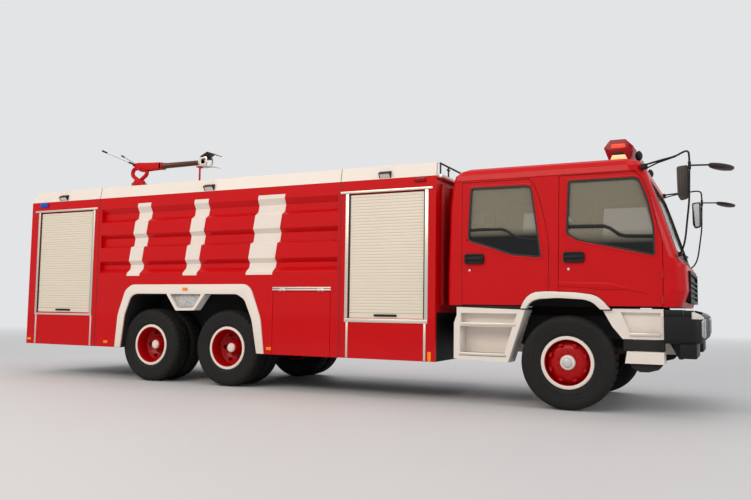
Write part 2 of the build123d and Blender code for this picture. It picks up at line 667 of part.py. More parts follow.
def rear_step():
    box = side_form([(-1290, 1129), (-467, 1106), (-670, 498), (-1324, 522), (-1323, 940), (-1289, 1035)],
                    (880, 1195))
    pockets = [side_form([(-1240, 1060), (-560, 1060), (-600, 950), (-1240, 950)], (1090, 1200)),
               side_form([(-1250, 905), (-615, 905), (-705, 600), (-1250, 600)], (990, 1200))]
    arm = block((-1180, -1080), (RAIL_Y[1], 900), (860, 940))
    return joined(box - pockets[0] - pockets[1], arm) - upper_tread - lower_tread


def front_step():
    panel = side_form([(392, 1108), (486, 1108), (490, 1130), (1010, 1131), (1013, 808), (594, 806), (485, 939)],
                      (1100, 1170))
    lower = side_form([(640, 676), (1011, 676), (1011, 548), (617, 548)], (930, 1190))
    leg = block((700, 960), (1000, 1150), (676, 806))
    arm = block((800, 920), (RAIL_Y[1], 1010), (690, 800))
    drop = block((800, 920), (RAIL_Y[1] - 60, RAIL_Y[1] + 40), (690, RAIL_Z[0]))
    return joined(panel, lower, leg, arm, drop)


upper_tread = block((-1235, -580), (1095, 1200), (914, 947))
lower_tread = block((-1255, -690), (995, 1202), (560, 597))
save("cab_steps", *pair(rear_step()), *pair(front_step()))
save("step_treads", *pair(upper_tread), *pair(lower_tread))


# Mirrors: a tube from the roof corner carries the main and the round mirror.

def mirror_set():
    arm = rod(11, (800, 1160, 2705), (1165, 1290, 2735), (1290, 1440, 2750), (1305, 1450, 2600), (1297, 1450, 2230),
              (1235, 1330, 1740), (1165, 1180, 1690), bend=25)
    branch = rod(9, (1304, 1450, 2600), (1500, 1450, 2592))
    main = side_form([(1180, 2600), (1290, 2611), (1290, 2260), (1215, 2242)], (1400, 1445), 22)
    back = block((1270, 1305), (1435, 1452), (2380, 2420))
    disc = Pos(1597, 1450, 2560) * Rot(0, 12, 0) * Cylinder(124, 46)
    foot = upright(795, 1155, 30, (2670, 2735))
    return joined(arm, branch, main, back, disc, foot) - cab_outer


save("mirrors", *pair(mirror_set()))


def lightbar():
    body = side_form([(400, 2850), (640, 2850), (683, 3000), (593, 3090), (418, 3090), (346, 3000)], (-750, 750), 10)
    feet = [block((450, 590), (y - 60, y + 60), (CAB_TOP_Z, 2855)) for y in (-560, 560)]
    return joined(body, *feet)


save("lightbar", lightbar())


# Body modules. Each is open below for the chassis rails, and its skirts hang down at the sides.

RAIL_ROOM_Y = 480
SKIRT_IN_Y = BODY_Y - BODY_WALL


def module(x):
    """A closed module box with room for the rails between its side skirts."""
    outer = block(x, (-BODY_Y, BODY_Y), BODY_Z)
    under = block((x[0] + BODY_WALL, x[1] - BODY_WALL), (-SKIRT_IN_Y, SKIRT_IN_Y), (BODY_Z[0] - 1, 930))
    channel = block((x[0] - 1, x[1] + 1), (-RAIL_ROOM_Y, RAIL_ROOM_Y), (BODY_Z[0] - 1, BODY_BED_Z))
    return outer - under - channel


def locker(x, opening_x):
    """A locker open through both sides, with a raised floor over the rails."""
    opening_z = (975, 2550)
    room = block(opening_x, (-BODY_Y - 1, BODY_Y + 1), opening_z)
    bed = block(opening_x, (-RAIL_ROOM_Y - 40, RAIL_ROOM_Y + 40), (opening_z[0], BODY_BED_Z + 40))
    return module(x) - (room - bed)


FRONT_OPENING = (-2731, -1682)
REAR_OPENING = (-8342, -7190)
LOCKER_Z = (975, 2550)
HATCH_Y = 620
HATCH_Z = (1120, 2480)
save("front_locker", locker((SEAM_FRONT, BODY_FRONT), FRONT_OPENING))


# Tank: a solid block with three pressed channels a side, wheel arches and a flap each side.

RIBS = [
    # top of the mouth, top of the floor, bottom of the floor, bottom of the mouth
    (2556, 2475, 2386, 2338),
    (2156, 2095, 1981, 1954),
    (1754, 1694, 1633, 1567),
]
RIB_DEPTH = 60
RIB_X = (-7009, -2890)
REAR_ARCH_OUTER = [(-6638, 470), (-6594, 954), (-6462, 1315), (-6338, 1400), (-4296, 1403), (-4205, 1339),
                   (-4044, 945), (-3979, 470)]
REAR_ARCH_INNER = [(-6530, 460), (-6466, 958), (-6354, 1220), (-6265, 1266), (-4434, 1266), (-4308, 1195),
                   (-4182, 926), (-4090, 460)]
DUAL_ROOM_Y = 560
FLAP_X = (-3864, -2979)
FLAP_TOP = 1311
FLAP_T = 28


def rib_cut(top, floor_top, floor_low, low):
    section = [(BODY_Y + 1, top), (BODY_Y - RIB_DEPTH, floor_top), (BODY_Y - RIB_DEPTH, floor_low), (BODY_Y + 1, low)]
    return front_form(section, RIB_X)


def tank():
    body = module((SEAM_REAR, SEAM_FRONT))
    for row in RIBS:
        cut = rib_cut(*row)
        body = body - cut - flipped(cut)
    arch = side_form(REAR_ARCH_INNER, (DUAL_ROOM_Y, BODY_Y + 1))
    flap_seat = block(FLAP_X, (BODY_Y - FLAP_T - 2, BODY_Y + 1), (BODY_Z[0] - 1, FLAP_TOP))
    for tool in (arch, flap_seat):
        body = body - tool - flipped(tool)
    return body


save("tank_body", tank())
flap = block((FLAP_X[0] + DOOR_GAP, FLAP_X[1] - DOOR_GAP), (BODY_Y - FLAP_T, BODY_Y),
             (BODY_Z[0], FLAP_TOP - DOOR_GAP))
flap_trim = block((FLAP_X[0], FLAP_X[1]), (BODY_Y, BODY_Y + 6), (FLAP_TOP + 9, FLAP_TOP + 51))
for hinge_x in (FLAP_X[0] + 150, FLAP_X[1] - 150):
    fixed, moving = hinge((hinge_x, BODY_Y + HINGE_R, FLAP_TOP - DOOR_GAP / 2), (0, 0, 1), (-1, 0, 0))
    flap = flap + moving
    flap_trim = flap_trim + fixed
save("flap_l", flap)
save("flap_r", flipped(flap))


def rear_arch():
    """White flare round both rear wheels, with the lamp pod between them."""
    y = (BODY_Y, BODY_Y + 22)
    ring = side_form(REAR_ARCH_OUTER, y) - side_form(REAR_ARCH_INNER, (y[0] - 1, y[1] + 1))
    ring = ring & block((-7000, -3500), y, (BODY_Z[0] + 5, 1500))
    pod_y = (BODY_Y - 120, BODY_Y + 22)
    pod = side_form([(-5674, 1266), (-5493, 1028), (-5161, 1037), (-4982, 1266)], pod_y)
    bowl = side_form([(-5610, 1262), (-5473, 1068), (-5181, 1076), (-5046, 1262)], (BODY_Y - 80, BODY_Y + 30))
    return ring + (pod - bowl)


save("rear_arches", *pair(rear_arch()))
pod_lamp = side_form([(-5600, 1258), (-5470, 1072), (-5184, 1080), (-5054, 1258)], (BODY_Y - 80, BODY_Y - 10))


# Shutters, their frames and the rear hatch.

def shutter(x):
    y = (BODY_Y - 52, BODY_Y - 30)
    sheet = block(x, y, LOCKER_Z)
    mid = (x[0] + x[1]) / 2
    handle = block((mid - 155, mid + 155), (y[1], y[1] + 20), (998, 1026))
    return sheet + handle


save("shutters", *pair(shutter(FRONT_OPENING)), *pair(shutter(REAR_OPENING)))


def trim(x, edge):
    """Aluminium frame round a shutter, proud of the body's side."""
    y = (BODY_Y, BODY_Y + 6)
    outer = block((x[0] - edge, x[1] + edge), y, (LOCKER_Z[0] - 50, LOCKER_Z[1] + 52))
    frame = outer - block(x, (y[0] - 1, y[1] + 1), LOCKER_Z)
    legs = [block((at, at + 30), y, (BODY_Z[0] + 5, LOCKER_Z[0] - 50)) for at in (x[0] - 14, x[1] - 16)]
    return joined(frame, *legs)


save("shutter_trim", *pair(trim(FRONT_OPENING, 42)), *pair(trim(REAR_OPENING, 35)), *pair(flap_trim))
hatch = block((BODY_REAR, BODY_REAR + 30), (-HATCH_Y + DOOR_GAP, HATCH_Y - DOOR_GAP),
              (HATCH_Z[0] + DOOR_GAP, HATCH_Z[1] - DOOR_GAP))
hatch_handle = block((BODY_REAR - 22, BODY_REAR), (-120, 120), (1200, 1230))
hatch = hatch + hatch_handle
hatch_leaves = []
for hinge_y in (-450, 450):
    fixed, moving = hinge((BODY_REAR - HINGE_R, hinge_y, HATCH_Z[1] - DOOR_GAP / 2), (0, 0, 1), (0, -1, 0))
    hatch = hatch + moving
    hatch_leaves.append(fixed)
save("rear_hatch", hatch)
rear_cut = block((BODY_REAR - 1, REAR_OPENING[0] + 1), (-HATCH_Y, HATCH_Y), HATCH_Z)
rear_locker = locker((BODY_REAR, SEAM_REAR), REAR_OPENING) - rear_cut
save("rear_locker", joined(rear_locker, *hatch_leaves))


# Roof: white parapet all round, a walkway deck with the tank's lids, and the work lamps.

def parapet():
    section = [(BODY_Y, BODY_Z[1]), (BODY_Y - PARAPET_LEAN, PARAPET_Z),
               (BODY_Y - PARAPET_LEAN - PARAPET_T, PARAPET_Z),
               (BODY_Y - PARAPET_T, BODY_Z[1])]
    side = front_form(section, (BODY_REAR, BODY_FRONT))
    foot = BODY_Y - PARAPET_T
    inside = [(-foot, BODY_Z[1]), (foot, BODY_Z[1]), (foot - PARAPET_LEAN, PARAPET_Z), (PARAPET_LEAN - foot, PARAPET_Z)]
    end_y = (-BODY_Y + PARAPET_T, BODY_Y - PARAPET_T)
    ends = [block((low, low + PARAPET_T), end_y, (BODY_Z[1], PARAPET_Z)) & front_form(inside, (low, low + PARAPET_T))
            for low in (BODY_REAR, BODY_FRONT - PARAPET_T)]
    return joined(side, flipped(side), *ends)


save("parapet", parapet())
DECK_X = (BODY_REAR + PARAPET_T, BODY_FRONT - PARAPET_T)
DECK_Y = BODY_Y - PARAPET_T - 32
deck = block(DECK_X, (-DECK_Y, DECK_Y), (BODY_Z[1], BODY_Z[1] + DECK_T))
DECK_TOP = BODY_Z[1] + DECK_T
lids = [upright(x, y, 270, (DECK_TOP, DECK_TOP + 70)) for x, y in ((-4000, 300), (-5800, -300))]
save("roof_deck", joined(deck, *lids))
WORK_LAMPS = [(-2319, -2125), (-5075, -4863), (-7940, -7693)]
lamps = [side_form([(x[0], 2725), (x[1], 2725), (x[1], 2815), (x[0], 2815)], (BODY_Y - 30, BODY_Y + 60)) for x in WORK_LAMPS]
# The lamp's back lies on the leaning parapet and its face looks down and out.
LAMP_SECTION = [(BODY_Y, BODY_Z[1]), (BODY_Y + 60, BODY_Z[1]), (BODY_Y + 60, 2760), (BODY_Y + 20, PARAPET_Z),
                (BODY_Y - PARAPET_LEAN, PARAPET_Z)]
lamp_list = []
for lamp in lamps:
    lamp_list.extend(pair(lamp & front_form(LAMP_SECTION, (BODY_REAR, BODY_FRONT))))
save("work_lamps", *lamp_list, *pair(pod_lamp))


def front_rail():
    rail_bar = rod(20, (BODY_FRONT + 30, -1050, 2870), (BODY_FRONT + 30, 1050, 2870))
    posts = [rod(14, (BODY_FRONT + 30, y, 2740), (BODY_FRONT + 30, y, 2870)) for y in (-1000, 0, 1000)]
    ledge = block((BODY_FRONT, BODY_FRONT + 60), (-1150, 1150), (2700, 2740))
    return joined(rail_bar, *posts, ledge)


save("front_rail", front_rail())


def ladder():
    y = (760, 1140)
    stiles = [rod(18, (BODY_REAR, at, 2600), (BODY_REAR - 77, at, 2600), (BODY_REAR - 77, at, 640),
                  (BODY_REAR, at, 640), bend=40) for at in y]
    rungs = [rod(14, (BODY_REAR - 77, y[0], z), (BODY_REAR - 77, y[1], z)) for z in range(800, 2500, 300)]
    return joined(*stiles, *rungs)


save("rear_ladder", ladder())
tail = block((BODY_REAR - 30, BODY_REAR), (760, 1180), (500, 590))
blue = block((-8396, -8136), (BODY_Y, BODY_Y + 30), (2620, 2700))
signal_lamps.extend([tail, blue])
save("signal_lamps", *[item for lamp in signal_lamps for item in pair(lamp)])


# Monitor on the roof: riser, turning head with its split waterway, and the barrel.

MONITOR_X = -7480
HEAD_Z = 3180
TRUNNION = (-7420, 3440)
RISER_R = 60
riser = joined(upright(MONITOR_X, 0, RISER_R, (DECK_TOP, HEAD_Z - 20)),
               upright(MONITOR_X, 0, 140, (DECK_TOP, DECK_TOP + 20)),
               upright(MONITOR_X, 0, 130, (HEAD_Z - 40, HEAD_Z - 0)))


def monitor_head():
    base = upright(MONITOR_X, 0, 100, (HEAD_Z + 0.3, HEAD_Z + 40))
    loop = [(MONITOR_X, 0, HEAD_Z + 30), (MONITOR_X - 150, 0, HEAD_Z + 160), (MONITOR_X - 130, 0, HEAD_Z + 265),
            (MONITOR_X + 130, 0, HEAD_Z + 265), (MONITOR_X + 150, 0, HEAD_Z + 160), (MONITOR_X, 0, HEAD_Z + 30)]
    left = rod(34, *loop[:4], bend=50)
    right = rod(34, loop[5], loop[4], loop[3], bend=50)
    cheek = Pos(TRUNNION[0], 0, TRUNNION[1]) * Rot(90, 0, 0) * Cylinder(60, 78)
    pin = across(TRUNNION[0], TRUNNION[1], 20, (-70, 70))
    return joined(base, left, right, cheek, pin)


save("monitor_head", monitor_head())


def monitor_barrel():
    x, z = TRUNNION
    plates = [side_form([(x - 60, z - 55), (x + 440, z - 45), (x + 440, z + 60), (x - 160, z + 90), (x - 180, z + 60)],
                        (44, 58))]
    plates.append(flipped(plates[0]))
    bore = across(x, z, 20 + RUN_FIT, (-100, 100))
    yoke = block((x + 400, x + 460), (-58, 58), (z - 50, z + 60))
    tube = rod(50, (x + 440, 0, z), (-6133, 0, z + 15))
    ring = Pos(-6150, 0, z + 15) * Rot(0, 90, 0) * Cylinder(66, 46)
    fork = side_form([(-6133, z - 50), (-5800, z - 30), (-5710, z + 70), (-5900, z + 60), (-6133, z + 66)], (-50, 50))
    levers = [rod(12, (x - 150, at, z + 66), (x - 1012, at, z + 388)) for at in (-51, 51)]
    plate_pair = [plate - bore for plate in plates]
    return joined(*plate_pair, yoke, tube, ring, fork, *levers)


save("monitor_barrel", monitor_barrel())
post = joined(rod(16, (-6184, 0, DECK_TOP), (-6184, 0, TRUNNION[1] - 80)),
              block((-6220, -6148), (-60, 60), (TRUNNION[1] - 80, TRUNNION[1] - 58)))
save("monitor_base", riser, post)
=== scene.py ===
# %% [markdown]
# # A foam fire truck
# The truck's solids come from its CAD source, already packed. This lesson loads them as a fixed
# frame, gives every solid a finish, and models the finer pieces over them: tyres with tread,
# wheels, slatted shutters, window seals, lamps, mirrors and the roof monitor.
# Blender works in metres here. +X is the front, +Y is the truck's left and the ground is z = 0.

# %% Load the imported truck
import bmesh
import bpy
import math
from mathutils import Matrix, Vector


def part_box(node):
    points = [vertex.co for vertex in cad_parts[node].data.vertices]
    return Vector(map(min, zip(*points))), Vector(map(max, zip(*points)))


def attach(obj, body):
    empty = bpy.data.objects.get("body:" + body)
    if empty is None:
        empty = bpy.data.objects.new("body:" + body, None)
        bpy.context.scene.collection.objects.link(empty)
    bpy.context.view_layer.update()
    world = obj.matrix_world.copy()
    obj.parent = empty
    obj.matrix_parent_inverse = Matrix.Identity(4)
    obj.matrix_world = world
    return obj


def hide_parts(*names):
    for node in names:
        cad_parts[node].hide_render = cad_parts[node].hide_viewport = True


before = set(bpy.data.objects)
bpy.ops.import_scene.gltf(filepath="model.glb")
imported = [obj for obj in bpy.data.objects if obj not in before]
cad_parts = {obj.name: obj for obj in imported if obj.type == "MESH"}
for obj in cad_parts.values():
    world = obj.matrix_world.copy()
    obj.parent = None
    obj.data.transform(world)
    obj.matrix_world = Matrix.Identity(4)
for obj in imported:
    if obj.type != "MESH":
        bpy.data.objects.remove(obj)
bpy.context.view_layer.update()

# %% [markdown]
# ## Where things are
# Lengths along the truck are easiest to read from the front axle, in millimetres, because that is
# how a chassis drawing gives them. The front tyre's box says where that axle is, and one matrix
# turns such millimetres into Blender's metres.

# %% Millimetres from the front axle
front_tyre_low, front_tyre_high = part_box("tyre_front_l")
AXLE_X = (front_tyre_low.x + front_tyre_high.x) / 2
TO_METRES = Matrix.Translation((AXLE_X, 0, 0)) @ Matrix.Scale(0.001, 4)
AXLE_Z = 525
REAR_AXLE_X = {}
for axle in ("a", "b"):
    low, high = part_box(f"tyres_rear_{axle}_l")
    REAR_AXLE_X[axle] = ((low.x + high.x) / 2 - AXLE_X) * 1000
WHEEL_Y = 1062
TWIN_PITCH = 320
CAB_Y = 1200
BODY_Y = 1250
BODY_FRONT = -1543
BODY_REAR = -8543
print("the front axle is at x =", round(AXLE_X, 3), "m")

# %% [markdown]
# ## The camera
# The picture was taken from the truck's right, near the back of the cab, at chest height and
# looking a little up. The focal length, place and angles make the known corners of the body and
# the wheel rings fall where the picture has them.

# %% Camera
FOCAL_PX = 744.8
PICTURE_PX = 751
SENSOR_MM = 36
TURN = math.radians(25.951)
PITCH = math.radians(4.470)
ROLL = math.radians(0.786)
UPWARDS = Vector((0, 0, 1))
level_forward = Vector((-math.sin(TURN), math.cos(TURN), 0))
level_right = Vector((math.cos(TURN), math.sin(TURN), 0))
forward = level_forward * math.cos(PITCH) + UPWARDS * math.sin(PITCH)
tilted_up = UPWARDS * math.cos(PITCH) - level_forward * math.sin(PITCH)
right = level_right * math.cos(ROLL) + tilted_up * math.sin(ROLL)
up = tilted_up * math.cos(ROLL) - level_right * math.sin(ROLL)
CAMERA_AT = (AXLE_X + 1.721, -9.609, 1.100)
camera = bpy.data.objects.new("camera", bpy.data.cameras.new("camera"))
camera.data.sensor_width = SENSOR_MM
camera.data.lens = SENSOR_MM * FOCAL_PX / PICTURE_PX
camera.data.clip_end = 300
camera.matrix_world = Matrix.Translation(CAMERA_AT) @ Matrix((right, up, -forward)).transposed().to_4x4()
bpy.context.scene.collection.objects.link(camera)
bpy.context.scene.camera = camera
print("lens:", round(camera.data.lens, 1), "mm")

# %% [markdown]
# ## Finishes
# Each finish is a material of nodes. One function turns a hex colour from a paint card into the
# linear numbers that Blender's sockets take, and one adds a node with its settings and links.
# Small helpers build on that one for the nodes that most finishes share.

# %% Helpers for materials
MIX_A, MIX_B, MIX_OUT = 6, 7, 2  # a Mix node's colour sockets and its colour result


def linear(code):
    """An sRGB hex colour as linear red, green, blue and alpha."""
    parts = [int(code[i:i + 2], 16) / 255 for i in (0, 2, 4)]
    return [c / 12.92 if c <= 0.04045 else ((c + 0.055) / 1.055) ** 2.4 for c in parts] + [1.0]


def add(material, kind, inputs=None, **settings):
    """Adds a node and fills its sockets with plain values or with other nodes' outputs."""
    node = material.node_tree.nodes.new(kind)
    for setting, value in settings.items():
        setattr(node, setting, value)
    for socket, value in (inputs or {}).items():
        if isinstance(value, bpy.types.NodeSocket):
            material.node_tree.links.new(value, node.inputs[socket])
        else:
            node.inputs[socket].default_value = value
    return node


def spot_on(material):
    """The place on the object, in metres."""
    return add(material, "ShaderNodeTexCoord").outputs["Object"]


def sums(material, operation, *values):
    """One operation on numbers or outputs."""
    return add(material, "ShaderNodeMath", dict(enumerate(values)), operation=operation).outputs[0]


def graded(material, value, low, high, to_low=0.0, to_high=1.0):
    """A value between low and high, stretched to another range."""
    return add(material, "ShaderNodeMapRange", {
        "Value": value, "From Min": low, "From Max": high,
        "To Min": to_low, "To Max": to_high}).outputs[0]


def blended(material, factor, tone, other):
    """A colour between two others, by a factor."""
    return add(material, "ShaderNodeMix", {0: factor, MIX_A: tone, MIX_B: other},
               data_type="RGBA").outputs[MIX_OUT]


def drive(material, **outputs):
    """Lets nodes' outputs drive sockets of the surface."""
    shader = material.node_tree.nodes["Principled BSDF"]
    for socket, output in outputs.items():
        material.node_tree.links.new(output, shader.inputs[socket.replace("_", " ")])


def bump(material, height, distance, strength=1.0, **settings):
    """Gives the surface a relief of a height in metres."""
    drive(material, Normal=add(material, "ShaderNodeBump", {
        "Height": height, "Strength": strength, "Distance": distance}, **settings).outputs[0])


# %% [markdown]
# Most finishes share one idea: the colour drifts between two near tones and the gloss drifts with
# it, because no real surface is quite even, and a fine height pattern gives it its grain.

# %% A drifting finish


def finish(name, tones, patch_mm, rough, grain_mm=0.0, grain_height_mm=0.0, **sockets):
    """A surface whose colour and gloss drift over patches of a size, with a grain of a size."""
    material = bpy.data.materials.new(name)
    material.use_nodes = True
    shader = material.node_tree.nodes["Principled BSDF"]
    for socket, value in sockets.items():
        shader.inputs[socket.replace("_", " ")].default_value = value
    place = spot_on(material)
    patches = add(material, "ShaderNodeTexNoise", {
        "Vector": place, "Scale": 1000 / patch_mm, "Detail": 5.0, "Roughness": 0.6}).outputs[0]
    drive(material, Base_Color=blended(material, patches, linear(tones[0]), linear(tones[1])),
          Roughness=graded(material, patches, 0.3, 0.7, *rough))
    if grain_mm:
        grain = add(material, "ShaderNodeTexNoise", {
            "Vector": place, "Scale": 1000 / grain_mm, "Detail": 2.0}).outputs[0]
        bump(material, grain, grain_height_mm / 1000)
    return material


# %% [markdown]
# ### Paint, metal, rubber and plastic
# The red is a two-layer vehicle paint: a pigment layer under a clear coat, so it has one sharp
# reflection over a soft one. Its faint waves are the orange peel that a spray gun leaves, drawn at
# 14 mm because the real 2 mm waves are too fine to show. The white is the same paint. Dust lies on
# a tyre's side, so its black drifts to a slightly browner one. Bare metal is metallic, and rubber
# and cab plastic have no metal in them.

# %% The plain finishes
COAT = 0.2
CLEAR = {"Coat_Weight": COAT, "Coat_Roughness": 0.04, "Specular_IOR_Level": 0.1}
RED_PAINT = (("BE0209", "CA040C"), 900, (0.38, 0.46), 14, 0.02)
red_paint = finish("red_vehicle_paint", *RED_PAINT, **CLEAR)
white_paint = finish("white_vehicle_paint", ("E4DBD3", "EBE3DB"), 700, (0.34, 0.42), 14, 0.02, **CLEAR)
wheel_red = finish("red_wheel_paint", ("B4050C", "A2040B"), 160, (0.36, 0.5), 9, 0.05, **CLEAR)
frame_black = finish("black_chassis_paint", ("17181A", "232223"), 220, (0.5, 0.72), 12, 0.15)
liner_black = finish("black_underseal", ("101112", "1A1918"), 140, (0.75, 0.92), 9, 0.5)
cab_plastic = finish("black_moulded_plastic", ("0D0E10", "121315"), 260, (0.42, 0.54), 2.5, 0.04,
                     Specular_IOR_Level=0.25)
seal_rubber = finish("black_window_rubber", ("0E0F10", "141516"), 120, (0.5, 0.62))
rubber = finish("tyre_rubber", ("101011", "1C1A18"), 240, (0.66, 0.84), 7, 0.25, Specular_IOR_Level=0.3)
mirror_plastic = finish("brown_black_mirror_plastic", ("2A211E", "352A25"), 90, (0.4, 0.55), 3, 0.06)
aluminium = finish("anodised_aluminium", ("DCD6CC", "CFC9BF"), 420, (0.34, 0.46), 5, 0.02,
                   Metallic=0.85)
slat_metal = finish("satin_shutter_aluminium", ("E4DBCA", "DCD3C2"), 520, (0.42, 0.52), 6, 0.02,
                    Metallic=0.1)
steel = finish("bright_steel", ("C4C5C8", "B2B4B8"), 130, (0.22, 0.36), Metallic=1.0)
dark_steel = finish("dark_flap_steel", ("4A453F", "3C3833"), 130, (0.4, 0.55), 5, 0.03, Metallic=0.8)
bronze = finish("dark_bronze_tube", ("6B4A3C", "55382D"), 180, (0.3, 0.42), 8, 0.05, Metallic=0.8)
cast_iron = finish("rough_cast_iron", ("2B2623", "3A302A"), 110, (0.68, 0.86), 6, 0.4, Metallic=0.3)
spring_steel = finish("black_spring_steel", ("1C1B1C", "2A2523"), 150, (0.5, 0.68), 8, 0.15)
cap_metal = finish("pale_hub_cap", ("CFCDCD", "C2C0C0"), 60, (0.3, 0.4), Metallic=0.2)
print("finishes:", len(bpy.data.materials))

# %% [markdown]
# ### Lamps and glass
# A lamp lens is clear or tinted plastic over a bright bowl. Seen from outside it is a saturated
# colour with a hard gloss, so a shiny tinted surface with a little light of its own is enough.
# The cab's glass is a thin tinted pane. Alpha lets the camera see the seats behind it, and its
# lower part is painted nearly black as shade, as in the picture. A wave's period is a twentieth of its
# scale.

# %% Lamp and glass finishes
WAVE_PERIODS = 20


def wave(material, place, pitch_mm, direction):
    """Bands of a pitch along a direction."""
    return add(material, "ShaderNodeTexWave", {
        "Vector": place, "Scale": 1000 / pitch_mm / WAVE_PERIODS}, bands_direction=direction).outputs["Fac"]


def lens(name, tones, glow):
    """Tinted lamp plastic with fine upright flutes, 6 mm apart."""
    material = finish(name, tones, 60, (0.1, 0.18), Coat_Weight=0.15, Coat_Roughness=0.03,
                      Specular_IOR_Level=0.12, Emission_Color=linear(tones[0]), Emission_Strength=glow)
    bump(material, wave(material, spot_on(material), 6, "X"), 0.001, 0.5)
    return material


red_lens = lens("red_lamp_plastic", ("86020A", "98040C"), 0.05)
amber_lens = lens("amber_lamp_plastic", ("E8741A", "F08A24"), 0.15)
blue_lens = lens("blue_lamp_plastic", ("1B3FA8", "2450C0"), 0.1)
clear_lens = lens("clear_lamp_plastic", ("C9C2BC", "DCD6D0"), 0.05)
bulb_warm = lens("warm_lit_lamp", ("FFC98A", "FFE0B0"), 0.5)
bulb_red = lens("lit_red_lamp", ("F0402C", "FF6A48"), 0.6)
pod_cover = finish("clear_pod_cover", ("E8ECEC", "F4F6F6"), 200, (0.03, 0.06), Alpha=0.28,
                   Coat_Weight=1.0)


def pane(name, shade_painted_up_to, clear_from):
    """Tinted glass with painted shade: nearly black up to one height in metres and half clear from another.
    """
    material = finish(name, ("7E837B", "888C84"), 900, (0.03, 0.06), Coat_Weight=0.2,
                      Coat_Roughness=0.01, Specular_IOR_Level=0.2)
    height = add(material, "ShaderNodeSeparateXYZ", {0: spot_on(material)}).outputs["Z"]
    # Painted shade: the glass darkens to nearly black below the first height.
    shade = graded(material, height, shade_painted_up_to, clear_from)
    drive(material, Base_Color=blended(material, shade, linear("060606"), linear("A09A88")),
          Alpha=graded(material, shade, 0, 1, 0.97, 0.42))
    return material


glass = pane("tinted_cab_glass_painted_shade", 1.84, 2.0)
rear_door_glass = pane("tinted_rear_door_glass_painted_shade", 1.95, 2.06)
print("lamp and glass finishes made")

# %% [markdown]
# ### Finishes that follow the shape
# The body's steel sheet is red outside, but underneath, between its skirts, it is brushed with
# black underseal, so one material mixes the two by place: below the bed and inside the skirts.
# The cab's sheet is red outside and lined with grey felt inside: a face belongs to the inside
# when its normal points back towards the middle of the cab.
# A roof deck is chequer plate, whose raised bars are about 30 mm long. Seat cloth is a plain
# weave. Its real threads are under 1 mm, so it is drawn at 6 mm.

# %% Body sheet, cab sheet, chequer plate and cloth
BED_Z = 1.061
SKIRT_Y = 1.206
CAB_MIDDLE = (AXLE_X - 0.15, 0, 2.0)
CHEQUER_MM = (34, 12)


def two_sided(name, inside, factor_of):
    """Red paint that changes to another colour and loses its coat where the factor is 1."""
    material = finish(name, *RED_PAINT, **CLEAR)
    factor = factor_of(material, add(material, "ShaderNodeTexCoord"))
    red = material.node_tree.nodes["Principled BSDF"].inputs["Base Color"].links[0].from_socket
    drive(material, Base_Color=blended(material, factor, red, linear(inside)),
          Coat_Weight=graded(material, factor, 0, 1, COAT, 0.0))
    return material


def under_body(material, place):
    """1 below the bed and inside the skirts, 0 elsewhere."""
    split = add(material, "ShaderNodeSeparateXYZ", {0: place.outputs["Object"]})
    inner = sums(material, "LESS_THAN", sums(material, "ABSOLUTE", split.outputs["Y"]), SKIRT_Y)
    return sums(material, "MULTIPLY", sums(material, "LESS_THAN", split.outputs["Z"], BED_Z), inner)


def in_cab(material, place):
    """1 on faces that look towards the middle of the cab, 0 on those that look away."""
    away = add(material, "ShaderNodeVectorMath", {0: place.outputs["Object"], 1: CAB_MIDDLE},
               operation="SUBTRACT").outputs[0]
    along = add(material, "ShaderNodeVectorMath", {0: away, 1: place.outputs["Normal"]},
                operation="DOT_PRODUCT").outputs["Value"]
    return sums(material, "LESS_THAN", along, 0.0)


body_sheet = two_sided("red_body_sheet", "121314", under_body)
cab_sheet = two_sided("red_cab_sheet_lined", "7A776A", in_cab)

chequer = finish("chequer_plate_aluminium", ("C9C7C2", "BDBBB6"), 300, (0.36, 0.5), Metallic=0.9)
turned_place = add(chequer, "ShaderNodeMapping", {
    "Vector": spot_on(chequer), "Rotation": (0, 0, math.radians(45)),
    "Scale": (1000 / CHEQUER_MM[0], 1000 / CHEQUER_MM[1], 1)})
bump(chequer, add(chequer, "ShaderNodeTexVoronoi", {
    "Vector": turned_place.outputs[0], "Scale": 1.0, "Randomness": 0.0}).outputs["Distance"],
    0.002, 0.7, invert=True)
cloth = finish("woven_seat_cloth", ("3A3C40", "44464A"), 200, (0.85, 0.95), Sheen_Weight=0.3)
threads = [wave(cloth, spot_on(cloth), 6, way) for way in ("Y", "DIAGONAL")]
bump(cloth, sums(cloth, "MULTIPLY", *threads), 0.001, 0.6)
print("finishes:", len(bpy.data.materials))

# %% [markdown]
# ## Finishes on the solids
# A solid keeps its shape and gets its finish by its material slot. The table gives the
# finish of every solid by how its name starts, also of those that a modelled piece later stands
# for.

# %% Give each solid its finish
SOLID_FINISH = {
    "door_glass_rear": rear_door_glass, "door_glass": glass, "door_": cab_sheet, "flap_": red_paint,
    "knuckle_": cast_iron, "rim": wheel_red, "tyre": rubber,
    "bumper": cab_plastic, "cab_arches": white_paint, "cab_floor": liner_black, "cab_glass": glass,
    "cab_grille": cab_plastic, "cab_seats": cloth, "cab_shell": cab_sheet, "cab_steps": white_paint,
    "chassis_": frame_black, "dashboard": cab_plastic, "drive_shafts": frame_black,
    "engine": cast_iron, "front_axle": frame_black, "front_locker": body_sheet,
    "front_rail": frame_black, "leaf_springs": spring_steel, "lightbar": red_lens,
    "mirrors": cab_plastic, "monitor_": red_paint, "parapet": white_paint,
    "rear_arches": white_paint, "rear_axles": frame_black, "rear_hatch": red_paint,
    "rear_ladder": aluminium, "rear_locker": body_sheet, "roof_deck": chequer,
    "shutter_trim": aluminium, "shutters": slat_metal, "signal_lamps": red_lens,
    "step_treads": aluminium, "tank_body": body_sheet, "work_lamps": clear_lens,
}
for node_name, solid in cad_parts.items():
    solid.data.materials.clear()
    solid.data.materials.append(next(made for start, made in SOLID_FINISH.items()
                                     if node_name.startswith(start)))
print("finished solids:", len(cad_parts))

